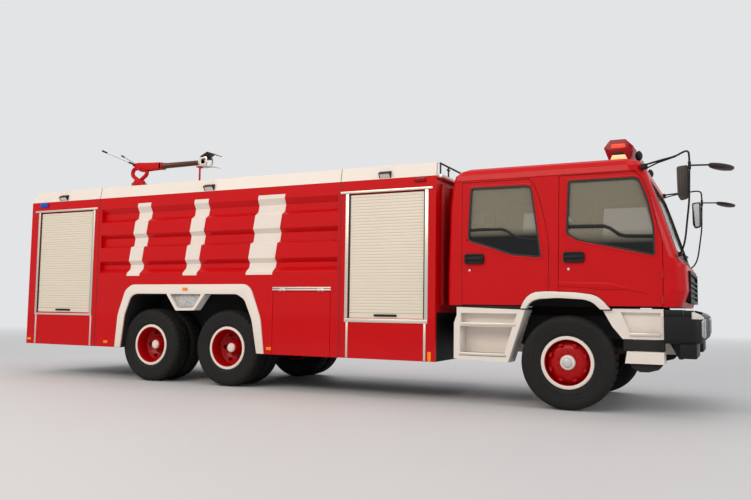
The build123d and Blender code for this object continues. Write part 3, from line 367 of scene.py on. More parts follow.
# %% [markdown]
# ## A small workshop
# Every new piece starts from a few vertices or a basic bmesh shape and is formed by operators:
# extrude, spin, inset and bevel. The helpers below are that workshop. Each draws into a mesh in
# millimetres from the front axle and hands it back, and `piece` sets it down in metres, gives it
# its finish and slot, and makes it ride a body.

# %% Box, plate and turned shape


def merged(target, source):
    """Moves one bmesh's shape into another."""
    mesh = bpy.data.meshes.new("part")
    source.to_mesh(mesh)
    source.free()
    target.from_mesh(mesh)
    bpy.data.meshes.remove(mesh)
    return target


def soften(bm, offset, segments=2, angle=0.6):
    """Rounds the edges where two faces meet at more than an angle."""
    sharp = [e for e in bm.edges if len(e.link_faces) == 2 and e.calc_face_angle(0) > angle]
    bmesh.ops.bevel(bm, geom=sharp, offset=offset, segments=segments, profile=0.5,
                    affect="EDGES", material=-1, clamp_overlap=True)


def block(target, x, y, z, bevel=0.0, segments=2):
    """A box between low and high values, with rounded edges."""
    bm = bmesh.new()
    middle = Vector([(low + high) / 2 for low, high in (x, y, z)])
    size = [high - low for low, high in (x, y, z)]
    bmesh.ops.create_cube(bm, size=1, matrix=Matrix.Translation(middle) @ Matrix.Diagonal((*size, 1)))
    if bevel:
        soften(bm, bevel, segments)
    return merged(target, bm)


SPREAD = {
    "side": lambda a, b, low: (a, low, b),
    "front": lambda a, b, low: (low, a, b),
    "top": lambda a, b, low: (a, b, low),
}
FLATTEN = {"side": lambda p: (p.x, p.z), "front": lambda p: (p.y, p.z), "top": lambda p: (p.x, p.y)}
DEEPEN = {"side": (0, 1, 0), "front": (1, 0, 0), "top": (0, 0, 1)}


def widened(outline, by):
    """An outline with every edge moved outwards by a distance."""
    spots = [Vector(point) for point in outline]
    doubled = sum(a.x * b.y - b.x * a.y for a, b in zip(spots, spots[1:] + spots[:1]))
    turn = 1 if doubled > 0 else -1
    moved = []
    for before, spot, after in zip(spots[-1:] + spots[:-1], spots, spots[1:] + spots[:1]):
        arrive = (spot - before).normalized()
        leave = (after - spot).normalized()
        out = Vector((arrive.y + leave.y, -arrive.x - leave.x)) * turn
        out /= max(0.5, out.length_squared / 2)
        moved.append(tuple(spot + out * by))
    return moved


def box_line(a, b):
    """The four corners of a rectangle between low and high values."""
    return [(a[0], b[0]), (a[1], b[0]), (a[1], b[1]), (a[0], b[1])]


def outline_face(bm, outline, plane, low, bend, square):
    """A flat face through an outline of points, its corners rounded by a bend unless kept square."""
    corners = [bm.verts.new(SPREAD[plane](a, b, low)) for a, b in outline]
    bm.faces.new(corners)
    if bend:
        bent = [corner for index, corner in enumerate(corners) if index not in square]
        bmesh.ops.bevel(bm, geom=bent, offset=bend, segments=5, profile=0.5,
                        affect="VERTICES", material=-1)
        bmesh.ops.remove_doubles(bm, verts=bm.verts[:], dist=1)


def hollowed(bm, plane, low, rim):
    """Leaves only a frame of one width along the edge of a flat face."""
    face = bm.faces[:][0]
    outer = [loop.vert for loop in face.loops]
    inner = [bm.verts.new(SPREAD[plane](a, b, low))
             for a, b in widened([FLATTEN[plane](vert.co) for vert in outer], -rim)]
    bm.faces.remove(face)
    for a, b, c, d in zip(outer, outer[1:] + outer[:1], inner[1:] + inner[:1], inner):
        bm.faces.new((a, b, c, d))


def plate(target, outline, depth, plane="side", bend=0.0, bevel=0.0, rim=0.0, square=()):
    """An outline given depth, or with a rim width only the frame round it."""
    bm = bmesh.new()
    outline_face(bm, outline, plane, depth[0], bend, square)
    if rim:
        hollowed(bm, plane, depth[0], rim)
    grown = bmesh.ops.extrude_face_region(bm, geom=bm.faces[:])
    moved = [v for v in grown["geom"] if isinstance(v, bmesh.types.BMVert)]
    bmesh.ops.translate(bm, verts=moved, vec=Vector(DEEPEN[plane]) * (depth[1] - depth[0]))
    bmesh.ops.recalc_face_normals(bm, faces=bm.faces[:])
    if bevel:
        soften(bm, bevel)
    return merged(target, bm)


def turned(target, profile, centre, axis="Y", steps=48):
    """A profile of (along, radius) points turned all the way round an axis."""
    bm = bmesh.new()
    along, out = {"X": ((1, 0, 0), (0, 0, 1)), "Y": ((0, 1, 0), (0, 0, 1)),
                  "Z": ((0, 0, 1), (1, 0, 0))}[axis]
    points = [bm.verts.new(Vector(centre) + Vector(along) * a + Vector(out) * r) for a, r in profile]
    line = [bm.edges.new(two) for two in zip(points, points[1:])]
    bmesh.ops.spin(bm, geom=points + line, cent=centre, axis=along, angle=math.tau, steps=steps,
                   use_merge=True)
    bmesh.ops.remove_doubles(bm, verts=bm.verts[:], dist=0.01)
    bmesh.ops.recalc_face_normals(bm, faces=bm.faces[:])
    return merged(target, bm)


# %% [markdown]
# A bent tube is easiest as a curve with a round bevel, turned into a mesh. A NURBS spline rounds
# the corners of its few points by itself.

# %% Pipe, mirror and set down


def pipe(target, points, radius, smooth=False, sides=10):
    """A round tube through points, with rounded corners if it is smooth."""
    curve = bpy.data.curves.new("pipe", "CURVE")
    curve.dimensions = "3D"
    curve.bevel_depth = radius
    curve.bevel_resolution = (sides - 4) // 2
    curve.use_fill_caps = True
    spline = curve.splines.new("NURBS" if smooth else "POLY")
    spline.points.add(len(points) - 1)
    for point, place in zip(spline.points, points):
        point.co = (*place, 1)
    if smooth:
        spline.order_u = 3
        spline.use_endpoint_u = True
    holder = bpy.data.objects.new("pipe", curve)
    mesh = bpy.data.meshes.new_from_object(holder)
    target.from_mesh(mesh)
    bpy.data.objects.remove(holder)
    bpy.data.meshes.remove(mesh)
    bpy.data.curves.remove(curve)
    return target


def both_sides(bm):
    """Adds the same shape on the truck's other side."""
    bmesh.ops.mirror(bm, geom=bm.verts[:] + bm.edges[:] + bm.faces[:], axis="Y", merge_dist=0)
    bmesh.ops.recalc_face_normals(bm, faces=bm.faces[:])
    return bm


PIECES = []
SIDES = (("left", "l", 1), ("right", "r", -1))
BOTH = 2


def piece(name, bm, body, material, smooth_degrees=35, stands_for=(), side=1):
    """Sets a shape drawn on the left down in metres, on one side or BOTH, riding on a body."""
    if side == BOTH:
        both_sides(bm)
    elif side == -1:
        bmesh.ops.scale(bm, verts=bm.verts[:], vec=(1, -1, 1))
        bmesh.ops.reverse_faces(bm, faces=bm.faces[:])
    bmesh.ops.transform(bm, matrix=TO_METRES, verts=bm.verts[:])
    mesh = bpy.data.meshes.new(name)
    bm.to_mesh(mesh)
    bm.free()
    mesh.materials.append(material)
    mesh.shade_smooth()
    mesh.set_sharp_from_angle(angle=math.radians(smooth_degrees))
    made = bpy.data.objects.new(name, mesh)
    bpy.context.scene.collection.objects.link(made)
    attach(made, body)
    if stands_for:
        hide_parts(*stands_for)
    PIECES.append(made)
    return made


# %% [markdown]
# A Boolean modifier cuts one shape out of another where their edges cross. It serves for wheel
# holes, and also where a solid needs a finer shape: `solid_shape` draws a solid's own mesh again, so
# that a piece can be cut or bent from it and then stand for it.

# %% Cut and copy


def cut_out(bm, cutter):
    """The shape less the cutter, worked out by a Boolean modifier."""
    objects = []
    for shape in (bm, cutter):
        mesh = bpy.data.meshes.new("cut")
        shape.to_mesh(mesh)
        objects.append(bpy.data.objects.new("cut", mesh))
        bpy.context.scene.collection.objects.link(objects[-1])
    modifier = objects[0].modifiers.new("holes", "BOOLEAN")
    modifier.operation = "DIFFERENCE"
    modifier.solver = "EXACT"
    modifier.object = objects[1]
    shaped = objects[0].evaluated_get(bpy.context.evaluated_depsgraph_get())
    result = bpy.data.meshes.new_from_object(shaped)
    bm.clear()
    bm.from_mesh(result)
    cutter.free()
    for made in objects:
        old = made.data
        bpy.data.objects.remove(made)
        bpy.data.meshes.remove(old)
    bpy.data.meshes.remove(result)


def solid_shape(node_name):
    """A solid's shape, ready to be worked on in millimetres."""
    bm = bmesh.new()
    bm.from_mesh(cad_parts[node_name].data)
    bmesh.ops.transform(bm, matrix=TO_METRES.inverted(), verts=bm.verts[:])
    return bm


# %% [markdown]
# ## Tyres
# A truck tyre is a body of revolution: a side wall with mould rings that bulges past the rim, a
# rounded shoulder and a nearly flat tread with four grooves round it. Its section is spun round
# the axle. The front tyres have plain ribs for steering. On the driven rear ones every third
# shoulder face is sunk to give open lugs, and the ribs get short cross cuts. Spinning is far
# lighter than modelling one block and repeating it.

# %% Model the tyres
TYRE_HALF_SECTION = [
    # (distance from the tyre's middle, radius), from the bead up to the crown
    (100, 264), (102, 294), (118, 304), (122, 312), (130, 330), (136, 364), (134, 368), (137, 373),
    (137, 400), (135, 432), (137, 437), (134, 444), (136, 450), (129, 480), (121, 503), (96, 519),
    (66, 522), (64, 511), (54, 511), (52, 524), (21, 525), (19, 513), (9, 513), (7, 525),
]
TREAD_STEPS = 120
LUG_RADIUS, LUG_BAND = 485, (98, 128)
CROWN_RADIUS, CROWN_HALF = 517, 96


def tyre(target, x, y, with_lugs):
    """One tyre round the axle at x, with its middle at y."""
    section = [(-a, r) for a, r in TYRE_HALF_SECTION] + [(a, r) for a, r in reversed(TYRE_HALF_SECTION)]
    section.append(section[0])
    bm = bmesh.new()
    turned(bm, section, (x, y, AXLE_Z), "Y", TREAD_STEPS)
    lugs = []
    cuts = []
    for face in bm.faces:
        spot = face.calc_center_median() - Vector((x, y, AXLE_Z))
        turn = round(math.degrees(math.atan2(spot.x, spot.z)) % 360 / (360 / TREAD_STEPS) - 0.5)
        radius = math.hypot(spot.x, spot.z)
        out = abs(spot.y)
        if with_lugs and radius > LUG_RADIUS and LUG_BAND[0] < out < LUG_BAND[1] and turn % 3 == 0:
            lugs.append(face)
        elif radius > CROWN_RADIUS and out < CROWN_HALF and turn % 3 == 1:
            cuts.append(face)
    bmesh.ops.inset_individual(bm, faces=lugs, thickness=3, depth=-5, use_even_offset=True)
    bmesh.ops.inset_individual(bm, faces=cuts, thickness=7, depth=-6, use_even_offset=True)
    return merged(target, bm)


for word, letter, side in SIDES:
    y = side * WHEEL_Y
    piece(f"front_tyre_{word}", tyre(bmesh.new(), 0, y, False), f"wheel_front_{letter}", rubber, 40,
          [f"tyre_front_{letter}"])
    for axle, axle_x in REAR_AXLE_X.items():
        outer = tyre(bmesh.new(), axle_x, y, True)
        piece(f"twin_tyres_{axle}_{word}", tyre(outer, axle_x, y - side * TWIN_PITCH, True),
              f"wheels_rear_{axle}_{letter}", rubber, 40, [f"tyres_rear_{axle}_{letter}"])
print("tyres:", len(PIECES))

# %% [markdown]
# ## Wheels
# The front wheel's disc domes out past the hub and the rear twins' discs are bolted back to back,
# so the outer one is deep dished. Both are pressed from plate with a ring of oval hand holes. The
# disc is spun, and the holes are cut by a Boolean, because their round edges cross the spun faces.
# The rim's outer flange is painted as a white ring.

# %% Sections of the wheels
# Each is a line of (distance outwards, radius) points. The front wheel's are from the tyre's
# middle and the rear ones from between the twins.
FLANGE = [(92, 262), (108, 256), (114, 262), (115, 278), (111, 292), (104, 296), (98, 293), (92, 262)]
FRONT_DISC = [(-110, 262), (-110, 246), (14, 242), (22, 238), (44, 206), (62, 172), (68, 120), (68, 60),
              (54, 60), (54, 118), (48, 168), (30, 200), (10, 230), (0, 240), (-4, 250), (100, 250),
              (108, 256), (108, 262), (-110, 262)]
FRONT_HUB = [(-40, 60), (66, 84), (84, 84), (100, 74), (104, 66), (104, 56), (60, 56)]
FRONT_CAP = [(60, 0), (60, 56), (110, 56), (122, 48), (128, 34), (128, 0)]
OUTER_DISC = [(270, 262), (270, 254), (256, 247), (140, 244), (90, 240), (66, 214), (20, 160), (16, 150),
              (16, 90), (0, 90), (0, 158), (46, 226), (56, 250), (60, 262), (270, 262)]
INNER_DISC = [(-270, 262), (-270, 246), (-20, 242), (-12, 200), (-12, 90), (0, 90), (0, 262), (-270, 262)]
REAR_HUB = [(-210, 60), (-210, 190), (-60, 190), (-60, 100), (60, 108), (150, 80), (158, 72), (158, 56),
            (0, 56)]
REAR_CAP = [(150, 0), (150, 62), (176, 62), (184, 56), (190, 40), (190, 0)]
NUTS = 10


def spun(target, x, y, side, section, steps):
    """A wheel's section spun round its axle."""
    return turned(target, [(side * a, r) for a, r in section], (x, y, AXLE_Z), "Y", steps)


def hole_cutters(x, y, radius, count, wide, high):
    """Oval bars across a wheel's disc, spaced round the axle."""
    cutter = bmesh.new()
    for index in range(count):
        place = Matrix.Translation((x, (y[0] + y[1]) / 2, AXLE_Z)) @ \
            Matrix.Rotation(math.tau * (index + 0.5) / count, 4, "Y") @ \
            Matrix.Translation((0, 0, radius)) @ Matrix.Diagonal((wide, 1, high, 1)) @ \
            Matrix.Rotation(math.pi / 2, 4, "X")
        bmesh.ops.create_cone(cutter, cap_ends=True, segments=20, radius1=1, radius2=1,
                              depth=y[1] - y[0], matrix=place)
    return cutter


def nuts(target, x, y, circle, size, height, side):
    """A ring of hexagonal wheel nuts with their studs."""
    for index in range(NUTS):
        turn = math.tau * index / NUTS
        spot = (x + circle * math.sin(turn), y, AXLE_Z + circle * math.cos(turn))
        place = Matrix.Translation(spot) @ Matrix.Rotation(-side * math.pi / 2, 4, "X")
        for sides, radius, reach in ((6, size, height), (8, size * 0.45, height * 1.7)):
            bmesh.ops.create_cone(target, cap_ends=True, segments=sides, radius1=radius,
                                  radius2=radius * 0.88, depth=reach,
                                  matrix=place @ Matrix.Translation((0, 0, reach / 2)))


# %% Model the wheels
for word, letter, side in SIDES:
    body = f"wheel_front_{letter}"
    y = side * WHEEL_Y
    wheel = spun(bmesh.new(), 0, y, side, FRONT_DISC, 72)
    cut_out(wheel, hole_cutters(0, sorted((y, y + side * 90)), 205, 8, 27, 15))
    nuts(wheel, 0, y + side * 66, 112, 14, 9, side)
    piece(f"front_wheel_{word}", wheel, body, wheel_red, 30, [f"rim_front_{letter}"])
    ring = spun(bmesh.new(), 0, y, side, FLANGE, 64)
    piece(f"front_wheel_ring_{word}", spun(ring, 0, y, side, FRONT_HUB, 48), body, white_paint)
    piece(f"front_hub_cap_{word}", spun(bmesh.new(), 0, y, side, FRONT_CAP, 40), body, cap_metal)
    for axle, axle_x in REAR_AXLE_X.items():
        body = f"wheels_rear_{axle}_{letter}"
        mid = side * (WHEEL_Y - TWIN_PITCH / 2)
        wheel = spun(bmesh.new(), axle_x, mid, side, OUTER_DISC, 72)
        cut_out(wheel, hole_cutters(axle_x, sorted((mid - side * 20, mid + side * 120)), 196, 6, 32, 19))
        nuts(wheel, axle_x, mid + side * 14, 132, 16, 14, side)
        spun(wheel, axle_x, mid, side, INNER_DISC, 48)
        spun(wheel, axle_x, mid, side, REAR_HUB, 40)
        piece(f"rear_wheels_{axle}_{word}", wheel, body, wheel_red, 30, [f"rims_rear_{axle}_{letter}"])
        ring = spun(bmesh.new(), axle_x, y, side, FLANGE, 64)
        piece(f"rear_wheel_ring_{axle}_{word}", spun(ring, axle_x, mid, side, REAR_CAP, 40), body,
              white_paint)
print("pieces so far:", len(PIECES))

# %% [markdown]
# ## Roller shutters
# A locker's shutter is a curtain of hollow aluminium slats, 38 mm high and almost flat, which
# slide in channels and end in a bottom rail with a lift bar. One slat is a closed section pulled
# along the truck, and copies of it stack up to the top. The channels are black felt-lined rails.

# %% Model the shutters
SHUTTERS = {"front": (-2731, -1682), "rear": (-8342, -7190)}
SHUTTER_Z = (975, 2550)
SLAT_PITCH = 38.4
SLAT_OUT = BODY_Y - 14
CHANNEL = 19
SLATS = 39

slats = bmesh.new()
channels = bmesh.new()
grips = bmesh.new()
for low, high in SHUTTERS.values():
    x = (low + CHANNEL, high - CHANNEL)
    plate(slats, [(SLAT_OUT - 9, 1040), (SLAT_OUT - 1.5, 1040.8), (SLAT_OUT + 0.6, 1046),
                  (SLAT_OUT + 1, 1059), (SLAT_OUT + 0.6, 1072), (SLAT_OUT - 1.5, 1077.2),
                  (SLAT_OUT - 9, 1078)], x, "front")
    block(slats, x, (SLAT_OUT - 10, SLAT_OUT + 4), (SHUTTER_Z[0], 1038), 3)
    middle = (low + high) / 2
    block(grips, (middle - 155, middle + 155), (SLAT_OUT + 2, SLAT_OUT + 21), (998, 1026), 6)
    for edge in (low, high - CHANNEL):
        block(channels, (edge, edge + CHANNEL), (SLAT_OUT - 14, BODY_Y - 5), SHUTTER_Z, 2)
one_row = [f for f in slats.faces if f.calc_center_median().z > 1039]
for step in range(1, SLATS):
    copied = bmesh.ops.duplicate(slats, geom=one_row)
    verts = [v for v in copied["geom"] if isinstance(v, bmesh.types.BMVert)]
    bmesh.ops.translate(slats, verts=verts, vec=(0, 0, SLAT_PITCH * step))
piece("shutter_slats", slats, "chassis", slat_metal, 20, ["shutters"], BOTH)
piece("shutter_channels", channels, "chassis", seal_rubber, side=BOTH)
piece("shutter_grips", grips, "chassis", cab_plastic, side=BOTH)
print("slats in each shutter:", SLATS)

# %% [markdown]
# ## Aluminium frames
# Each opening has a flat extruded frame, a rain header that reaches past it and a sill, and two
# narrow strips run down to the skirt's edge. Small rounded bars make them all, with a bevel that
# catches the light along the edge. The drop flap has a double strip above it.

# %% Model the frames
FRAME_BARS = [
    # x low, x high, z low, z high, how far it stands out
    (-2849, -1582, 2556, 2586, 16), (-2775, -2731, 970, 2556, 9), (-1682, -1638, 970, 2556, 9),
    (-2775, -1641, 922, 970, 9), (-2752, -2722, 475, 922, 7), (-1692, -1662, 475, 922, 7),
    (-8450, -7100, 2556, 2586, 16), (-8380, -8342, 958, 2556, 9), (-7190, -7150, 958, 2556, 9),
    (-8380, -7150, 930, 958, 9), (-8362, -8330, 475, 930, 7), (-7172, -7142, 475, 930, 7),
    (-3868, -2975, 1318, 1336, 8), (-3868, -2975, 1344, 1364, 8),
]
bars = bmesh.new()
for x_low, x_high, z_low, z_high, out in FRAME_BARS:
    block(bars, (x_low, x_high), (BODY_Y - 1, BODY_Y + out), (z_low, z_high), 2.5)
piece("locker_frames", bars, "chassis", aluminium, side=BOTH)

hinges = bmesh.new()
for x in (-3714, -3129):
    block(hinges, (x - 45, x + 45), (BODY_Y, BODY_Y + 4), (1309, 1345), 1)
piece("flap_hinge_leaves", hinges, "chassis", aluminium, 35, ["shutter_trim"], BOTH)
print("frame bars:", len(FRAME_BARS), "a side")

# %% [markdown]
# ## Seams between the modules
# The front locker, the tank and the rear locker are separate boxes bolted together, so a dark line
# of sealant runs up each joint and over the white parapet above it.

# %% Model the seams
seams = bmesh.new()
for x in (-2856, -7060):
    block(seams, (x - 5, x + 5), (BODY_Y - 2, BODY_Y + 1.5), (472, 2719))
    plate(seams, [(BODY_Y - 3, 2720), (BODY_Y + 1, 2720), (BODY_Y - 29, 2889), (BODY_Y - 33, 2889)],
          (x - 4, x + 4), "front")
piece("module_seams", seams, "chassis", seal_rubber, side=BOTH)
print("seams: 2 a side")

# %% [markdown]
# ## White bars on the tank
# The tank's side carries large white marks painted over its ribs. Here they are plain leaning bars
# of the same white and about the same size, two narrow ones and a broad one. A bar is one edge
# pulled down over the ribs, station by station, so that it dips into each pressed channel as real
# paint does.

# %% Model the bars
RIB_STATIONS = [
    # height and depth below the skin, from the top down
    (2610, 0), (2556, 0), (2475, 60), (2386, 60), (2338, 0), (2156, 0), (2095, 60), (1981, 60),
    (1954, 0), (1754, 0), (1694, 60), (1633, 60), (1567, 0), (1530, 0),
]
BARS = [
    # right end of the top edge, width
    (-6035, 250), (-4975, 250), (-3700, 430),
]
BAR_LEAN = 0.17
PAINT_OUT = BODY_Y + 1.2
paint = bmesh.new()
for x, width in BARS:
    ends = [paint.verts.new((end, PAINT_OUT, RIB_STATIONS[0][0])) for end in (x - width, x)]
    edge = paint.edges.new(ends)
    for (z_above, _), (z, depth) in zip(RIB_STATIONS, RIB_STATIONS[1:]):
        grown = bmesh.ops.extrude_edge_only(paint, edges=[edge])["geom"]
        edge = next(item for item in grown if isinstance(item, bmesh.types.BMEdge))
        for vert in edge.verts:
            vert.co = (vert.co.x - (z_above - z) * BAR_LEAN, PAINT_OUT - depth, z)
bmesh.ops.recalc_face_normals(paint, faces=paint.faces[:])
bmesh.ops.solidify(paint, geom=paint.faces[:], thickness=0.8)
piece("tank_white_bars", paint, "chassis", white_paint, 20, side=BOTH)
print("bars:", len(BARS), "a side")

# %% [markdown]
# ## Lamps along the body
# Three flood lamps sit in the foot of the parapet, each a black hood over a small clear lamp. The
# pod between the rear wheels holds two round lamps behind one clear cover. Amber markers show the
# truck's length at night, and a blue lamp stands at the rear corner.

# %% Model the body lamps
FLOODS = [(-2300, -2145), (-5050, -4888), (-7905, -7752)]
hoods = bmesh.new()
flood_lenses = bmesh.new()
for low, high in FLOODS:
    plate(hoods, [(1232, 2815), (1262, 2812), (1306, 2780), (1302, 2775), (1260, 2806), (1232, 2809)],
          (low, high), "front", bevel=1)
    for end in (low, high - 6):
        plate(hoods, [(1232, 2812), (1262, 2810), (1302, 2777), (1262, 2728), (1242, 2728)],
              (end, end + 6), "front")
    plate(flood_lenses, [(1236, 2800), (1262, 2798), (1292, 2774), (1258, 2732), (1242, 2732)],
          (low + 8, high - 8), "front", bevel=2)
piece("flood_hoods", hoods, "chassis", cab_plastic, side=BOTH)
piece("flood_lenses", flood_lenses, "chassis", clear_lens, 30, side=BOTH)

pod = plate(bmesh.new(), [(-5596, 1252), (-5466, 1076), (-5188, 1084), (-5058, 1252)],
            (BODY_Y - 79, BODY_Y - 66), bevel=2)
for x, radius in ((-5420, 62), (-5262, 66)):
    turned(pod, [(-66, radius), (-40, radius), (-38, radius - 6), (-58, radius - 22), (-64, 0)],
           (x, BODY_Y, 1166), "Y", 28)
piece("pod_lamp_bowls", pod, "chassis", steel, 30, ["work_lamps"], BOTH)
cover = plate(bmesh.new(), [(-5588, 1248), (-5462, 1080), (-5192, 1088), (-5066, 1248)],
              (BODY_Y - 30, BODY_Y - 24), bevel=2)
piece("pod_lamp_covers", cover, "chassis", pod_cover, side=BOTH)

AMBER = [
    # middle x, middle z, half length, half height, how far out its back is
    (-5330, 1335, 42, 20, BODY_Y + 22), (-8470, 545, 38, 20, BODY_Y), (-6830, 545, 38, 20, BODY_Y),
    (-3905, 545, 38, 20, BODY_Y), (-1612, 528, 22, 58, BODY_Y),
]
amber = bmesh.new()
for x, z, half, tall, back in AMBER:
    block(amber, (x - half, x + half), (back - 1, back + 14), (z - tall, z + tall), 4)
piece("amber_markers", amber, "chassis", amber_lens, side=BOTH)
blue = plate(bmesh.new(), [(-8352, 2640), (-8176, 2640), (-8184, 2708), (-8344, 2708)],
             (BODY_Y, BODY_Y + 29), bend=16, bevel=8)
piece("blue_corner_lamps", blue, "chassis", blue_lens, side=BOTH)
header = block(bmesh.new(), (-1822, -1674), (BODY_Y - 1, BODY_Y + 17), (2648, 2710), 6)
piece("header_markers", header, "chassis", red_lens, side=BOTH)
print("body lamps made")

# %% [markdown]
# ## Fronts with round corners
# The cab's face and the bumper are flat across and round off at their corners. `rounded_off` gives
# such a face at any width. Pieces drawn flat are cut into a fine grid and pushed forward onto it.
# The cab's face also leans back with height, by the same levels as its solids.

# %% Where the fronts are
CAB_LEVELS = [
    # height and how far forward the face is
    (1152, 1190), (1330, 1245), (1610, 1235), (1680, 1165), (2340, 955), (2625, 855), (2700, 832),
]
CAB_CORNER = 170
BUMPER_X = 1391
BUMPER_CORNER = 130


def rounded_off(y, face_x, radius, half=CAB_Y):
    """How far forward a flat face with round corners is, at a distance from the middle."""
    past = max(0.0, abs(y) - half + radius)
    return face_x - radius + math.sqrt(max(0.0, radius ** 2 - past ** 2))


def cab_front(y, z):
    """How far forward the cab's skin is at a width and height."""
    face_x = CAB_LEVELS[-1][1]
    for (low, front_low), (high, front_high) in zip(CAB_LEVELS, CAB_LEVELS[1:]):
        if z <= high:
            face_x = front_low + (front_high - front_low) * (z - low) / (high - low)
            break
    return rounded_off(y, face_x, CAB_CORNER)


def bumper_front(y, z):
    """How far forward the bumper's skin is, the same at every height."""
    return rounded_off(y, BUMPER_X, BUMPER_CORNER)


def laid_on(bm, front, cuts):
    """Cuts a shape drawn at x = 0 finely and pushes it forward onto a face."""
    bmesh.ops.subdivide_edges(bm, edges=bm.edges[:], cuts=cuts, use_grid_fill=True)
    for vert in bm.verts:
        vert.co.x += front(vert.co.y, vert.co.z)
    return bm


# %% [markdown]
# ## Head, corner and tail lamps
# The bumper is a hollow moulding with a well rounded lower edge, on two horns from the frame. It
# carries the headlamps in bright frames that reach round its corners. On each of its
# corners a clear indicator is cut across by planes and then pushed onto the round, with a black
# block behind it. The tail lamps are round-edged blocks in a black tray, one colour a segment.

# %% Model the bumper
BUMPER_BACK = 1013
BUMPER_Z = (770, 1055)
bumper = plate(bmesh.new(), box_line((BUMPER_BACK, BUMPER_X), (-CAB_Y, CAB_Y)), BUMPER_Z, "top",
               bend=BUMPER_CORNER, square=(0, 3))
for level, rounding in zip(BUMPER_Z, (45, 14)):
    edge_line = [e for e in bumper.edges if all(abs(v.co.z - level) < 1 for v in e.verts)
                 and not all(v.co.x < BUMPER_BACK + 7 for v in e.verts)]
    bmesh.ops.bevel(bumper, geom=edge_line, offset=rounding, segments=5, profile=0.5, affect="EDGES",
                    material=-1, clamp_overlap=True)
cut_out(bumper, plate(bmesh.new(), box_line((1003, 1331), (-1140, 1140)), (700, 1100), "top", bend=80,
                      square=(0, 3)))
for side in (-1, 1):
    block(bumper, (1180, 1336), sorted((side * 345, side * 425)), (800, 900))
    block(bumper, (1164, 1329), sorted((side * 450, side * (CAB_Y - 40))), (616, 800), 12)
piece("bumper_skin", bumper, "chassis", cab_plastic, 35, ["bumper"])
print("bumper made")

# %% Model the road lamps
frames = plate(bmesh.new(), box_line((716, 1124), (836, 1030)), (-3, 15), "front", bend=26, rim=15)
plate(frames, box_line((1046, 1058), (850, 1016)), (-3, 15), "front")
head = plate(bmesh.new(), box_line((729, 1111), (849, 1017)), (-3, 9), "front", bend=16)
piece("head_lamp_frames", laid_on(frames, bumper_front, 5), "chassis", steel, 50, side=BOTH)
piece("head_lamps", laid_on(head, bumper_front, 5), "chassis", clear_lens, 50, ["signal_lamps"], BOTH)
corner = plate(bmesh.new(), [(1290, 1060), (1296, 1108), (1368, 1079), (1398, 1050), (1399, 1030),
                             (1360, 1034)], (CAB_Y - 129, CAB_Y + 5), bevel=4)
for y in range(CAB_Y - 110, CAB_Y, 15):
    bmesh.ops.bisect_plane(corner, geom=corner.verts[:] + corner.edges[:] + corner.faces[:],
                           plane_co=(0, y, 0), plane_no=(0, 1, 0))
for vert in corner.verts:
    vert.co.x = min(vert.co.x, rounded_off(vert.co.y, BUMPER_X + 8, BUMPER_CORNER + 7, CAB_Y + 7))
piece("corner_indicators", corner, "chassis", clear_lens, side=BOTH)
corner_blocks = plate(bmesh.new(), [(1206, 1050), (1300, 1050), (1292, 1107), (1206, 1127)],
                      (CAB_Y - 129, CAB_Y - 14), bevel=6)
block(corner_blocks, (1020, 1196), (CAB_Y - 190, CAB_Y - 18), (1050, 1126), 5)
piece("corner_blocks", corner_blocks, "chassis", cab_plastic, side=BOTH)

TAIL = ((-8574, -8560), (508, 582))
tail = block(bmesh.new(), TAIL[0], (768, 900), TAIL[1], 6)
piece("tail_lamps", block(tail, TAIL[0], (1044, 1172), TAIL[1], 6), "chassis", red_lens, side=BOTH)
tray = block(bmesh.new(), (-8572, BODY_REAR), (758, 1182), (498, 592), 6)
piece("tail_trays", tray, "chassis", cab_plastic, side=BOTH)
indicator = block(bmesh.new(), TAIL[0], (906, 1038), TAIL[1], 6)
piece("rear_indicators", indicator, "chassis", amber_lens, side=BOTH)
print("road lamps made")

# %% [markdown]
# ## Window seals
# Each pane sits in a black rubber seal, a rounded lip along the edge of its opening, and the sheet
# round it is pressed up to a low bead. An outline is grown or shrunk, inset to a narrow frame,
# given depth and rounded. A dark sash bar crosses each side window, level at the back and dipping
# towards the front.

# %% Model the side windows' seals
WINDOWS = {
    "rear": [(-1118, 2542), (-421, 2538), (-385, 2493), (-308, 1933), (-280, 1700), (-617, 1734),
             (-955, 1852), (-1134, 1905), (-1150, 1956)],
    "front": [(29, 2559), (764, 2558), (808, 2491), (883, 2276), (933, 1994), (938, 1700),
              (123, 1886), (3, 1960)],
}
SASHES = {
    "rear": [(-1140, 2056), (-1013, 2061), (-734, 2056), (-660, 2023), (-573, 1956), (-523, 1941),
             (-306, 1908), (-302, 1884), (-540, 1916), (-592, 1934), (-680, 2000), (-745, 2026),
             (-1013, 2028), (-1140, 2022)],
    "front": [(14, 2064), (411, 2056), (481, 2029), (577, 1957), (633, 1939), (936, 1927),
              (936, 1890), (633, 1902), (563, 1923), (470, 1994), (405, 2018), (14, 2024)],
}
for word, letter, side in SIDES:
    for place, outline in WINDOWS.items():
        door = f"door_{place}_{letter}"
        seal = plate(bmesh.new(), widened(outline, 3), (CAB_Y - 20, CAB_Y + 3), bend=31, rim=20, bevel=2)
        piece(f"window_seal_{place}_{word}", seal, door, seal_rubber, side=side)
        sash = plate(bmesh.new(), SASHES[place], (CAB_Y - 22, CAB_Y - 8), bevel=4)
        piece(f"window_sash_{place}_{word}", sash, door, cab_plastic, side=side)
        bead = plate(bmesh.new(), widened(outline, 25), (CAB_Y - 1, CAB_Y + 5), bend=50, rim=20, bevel=4)
        piece(f"window_bead_{place}_{word}", bead, door, red_paint, 60, side=side)
print("side windows sealed")

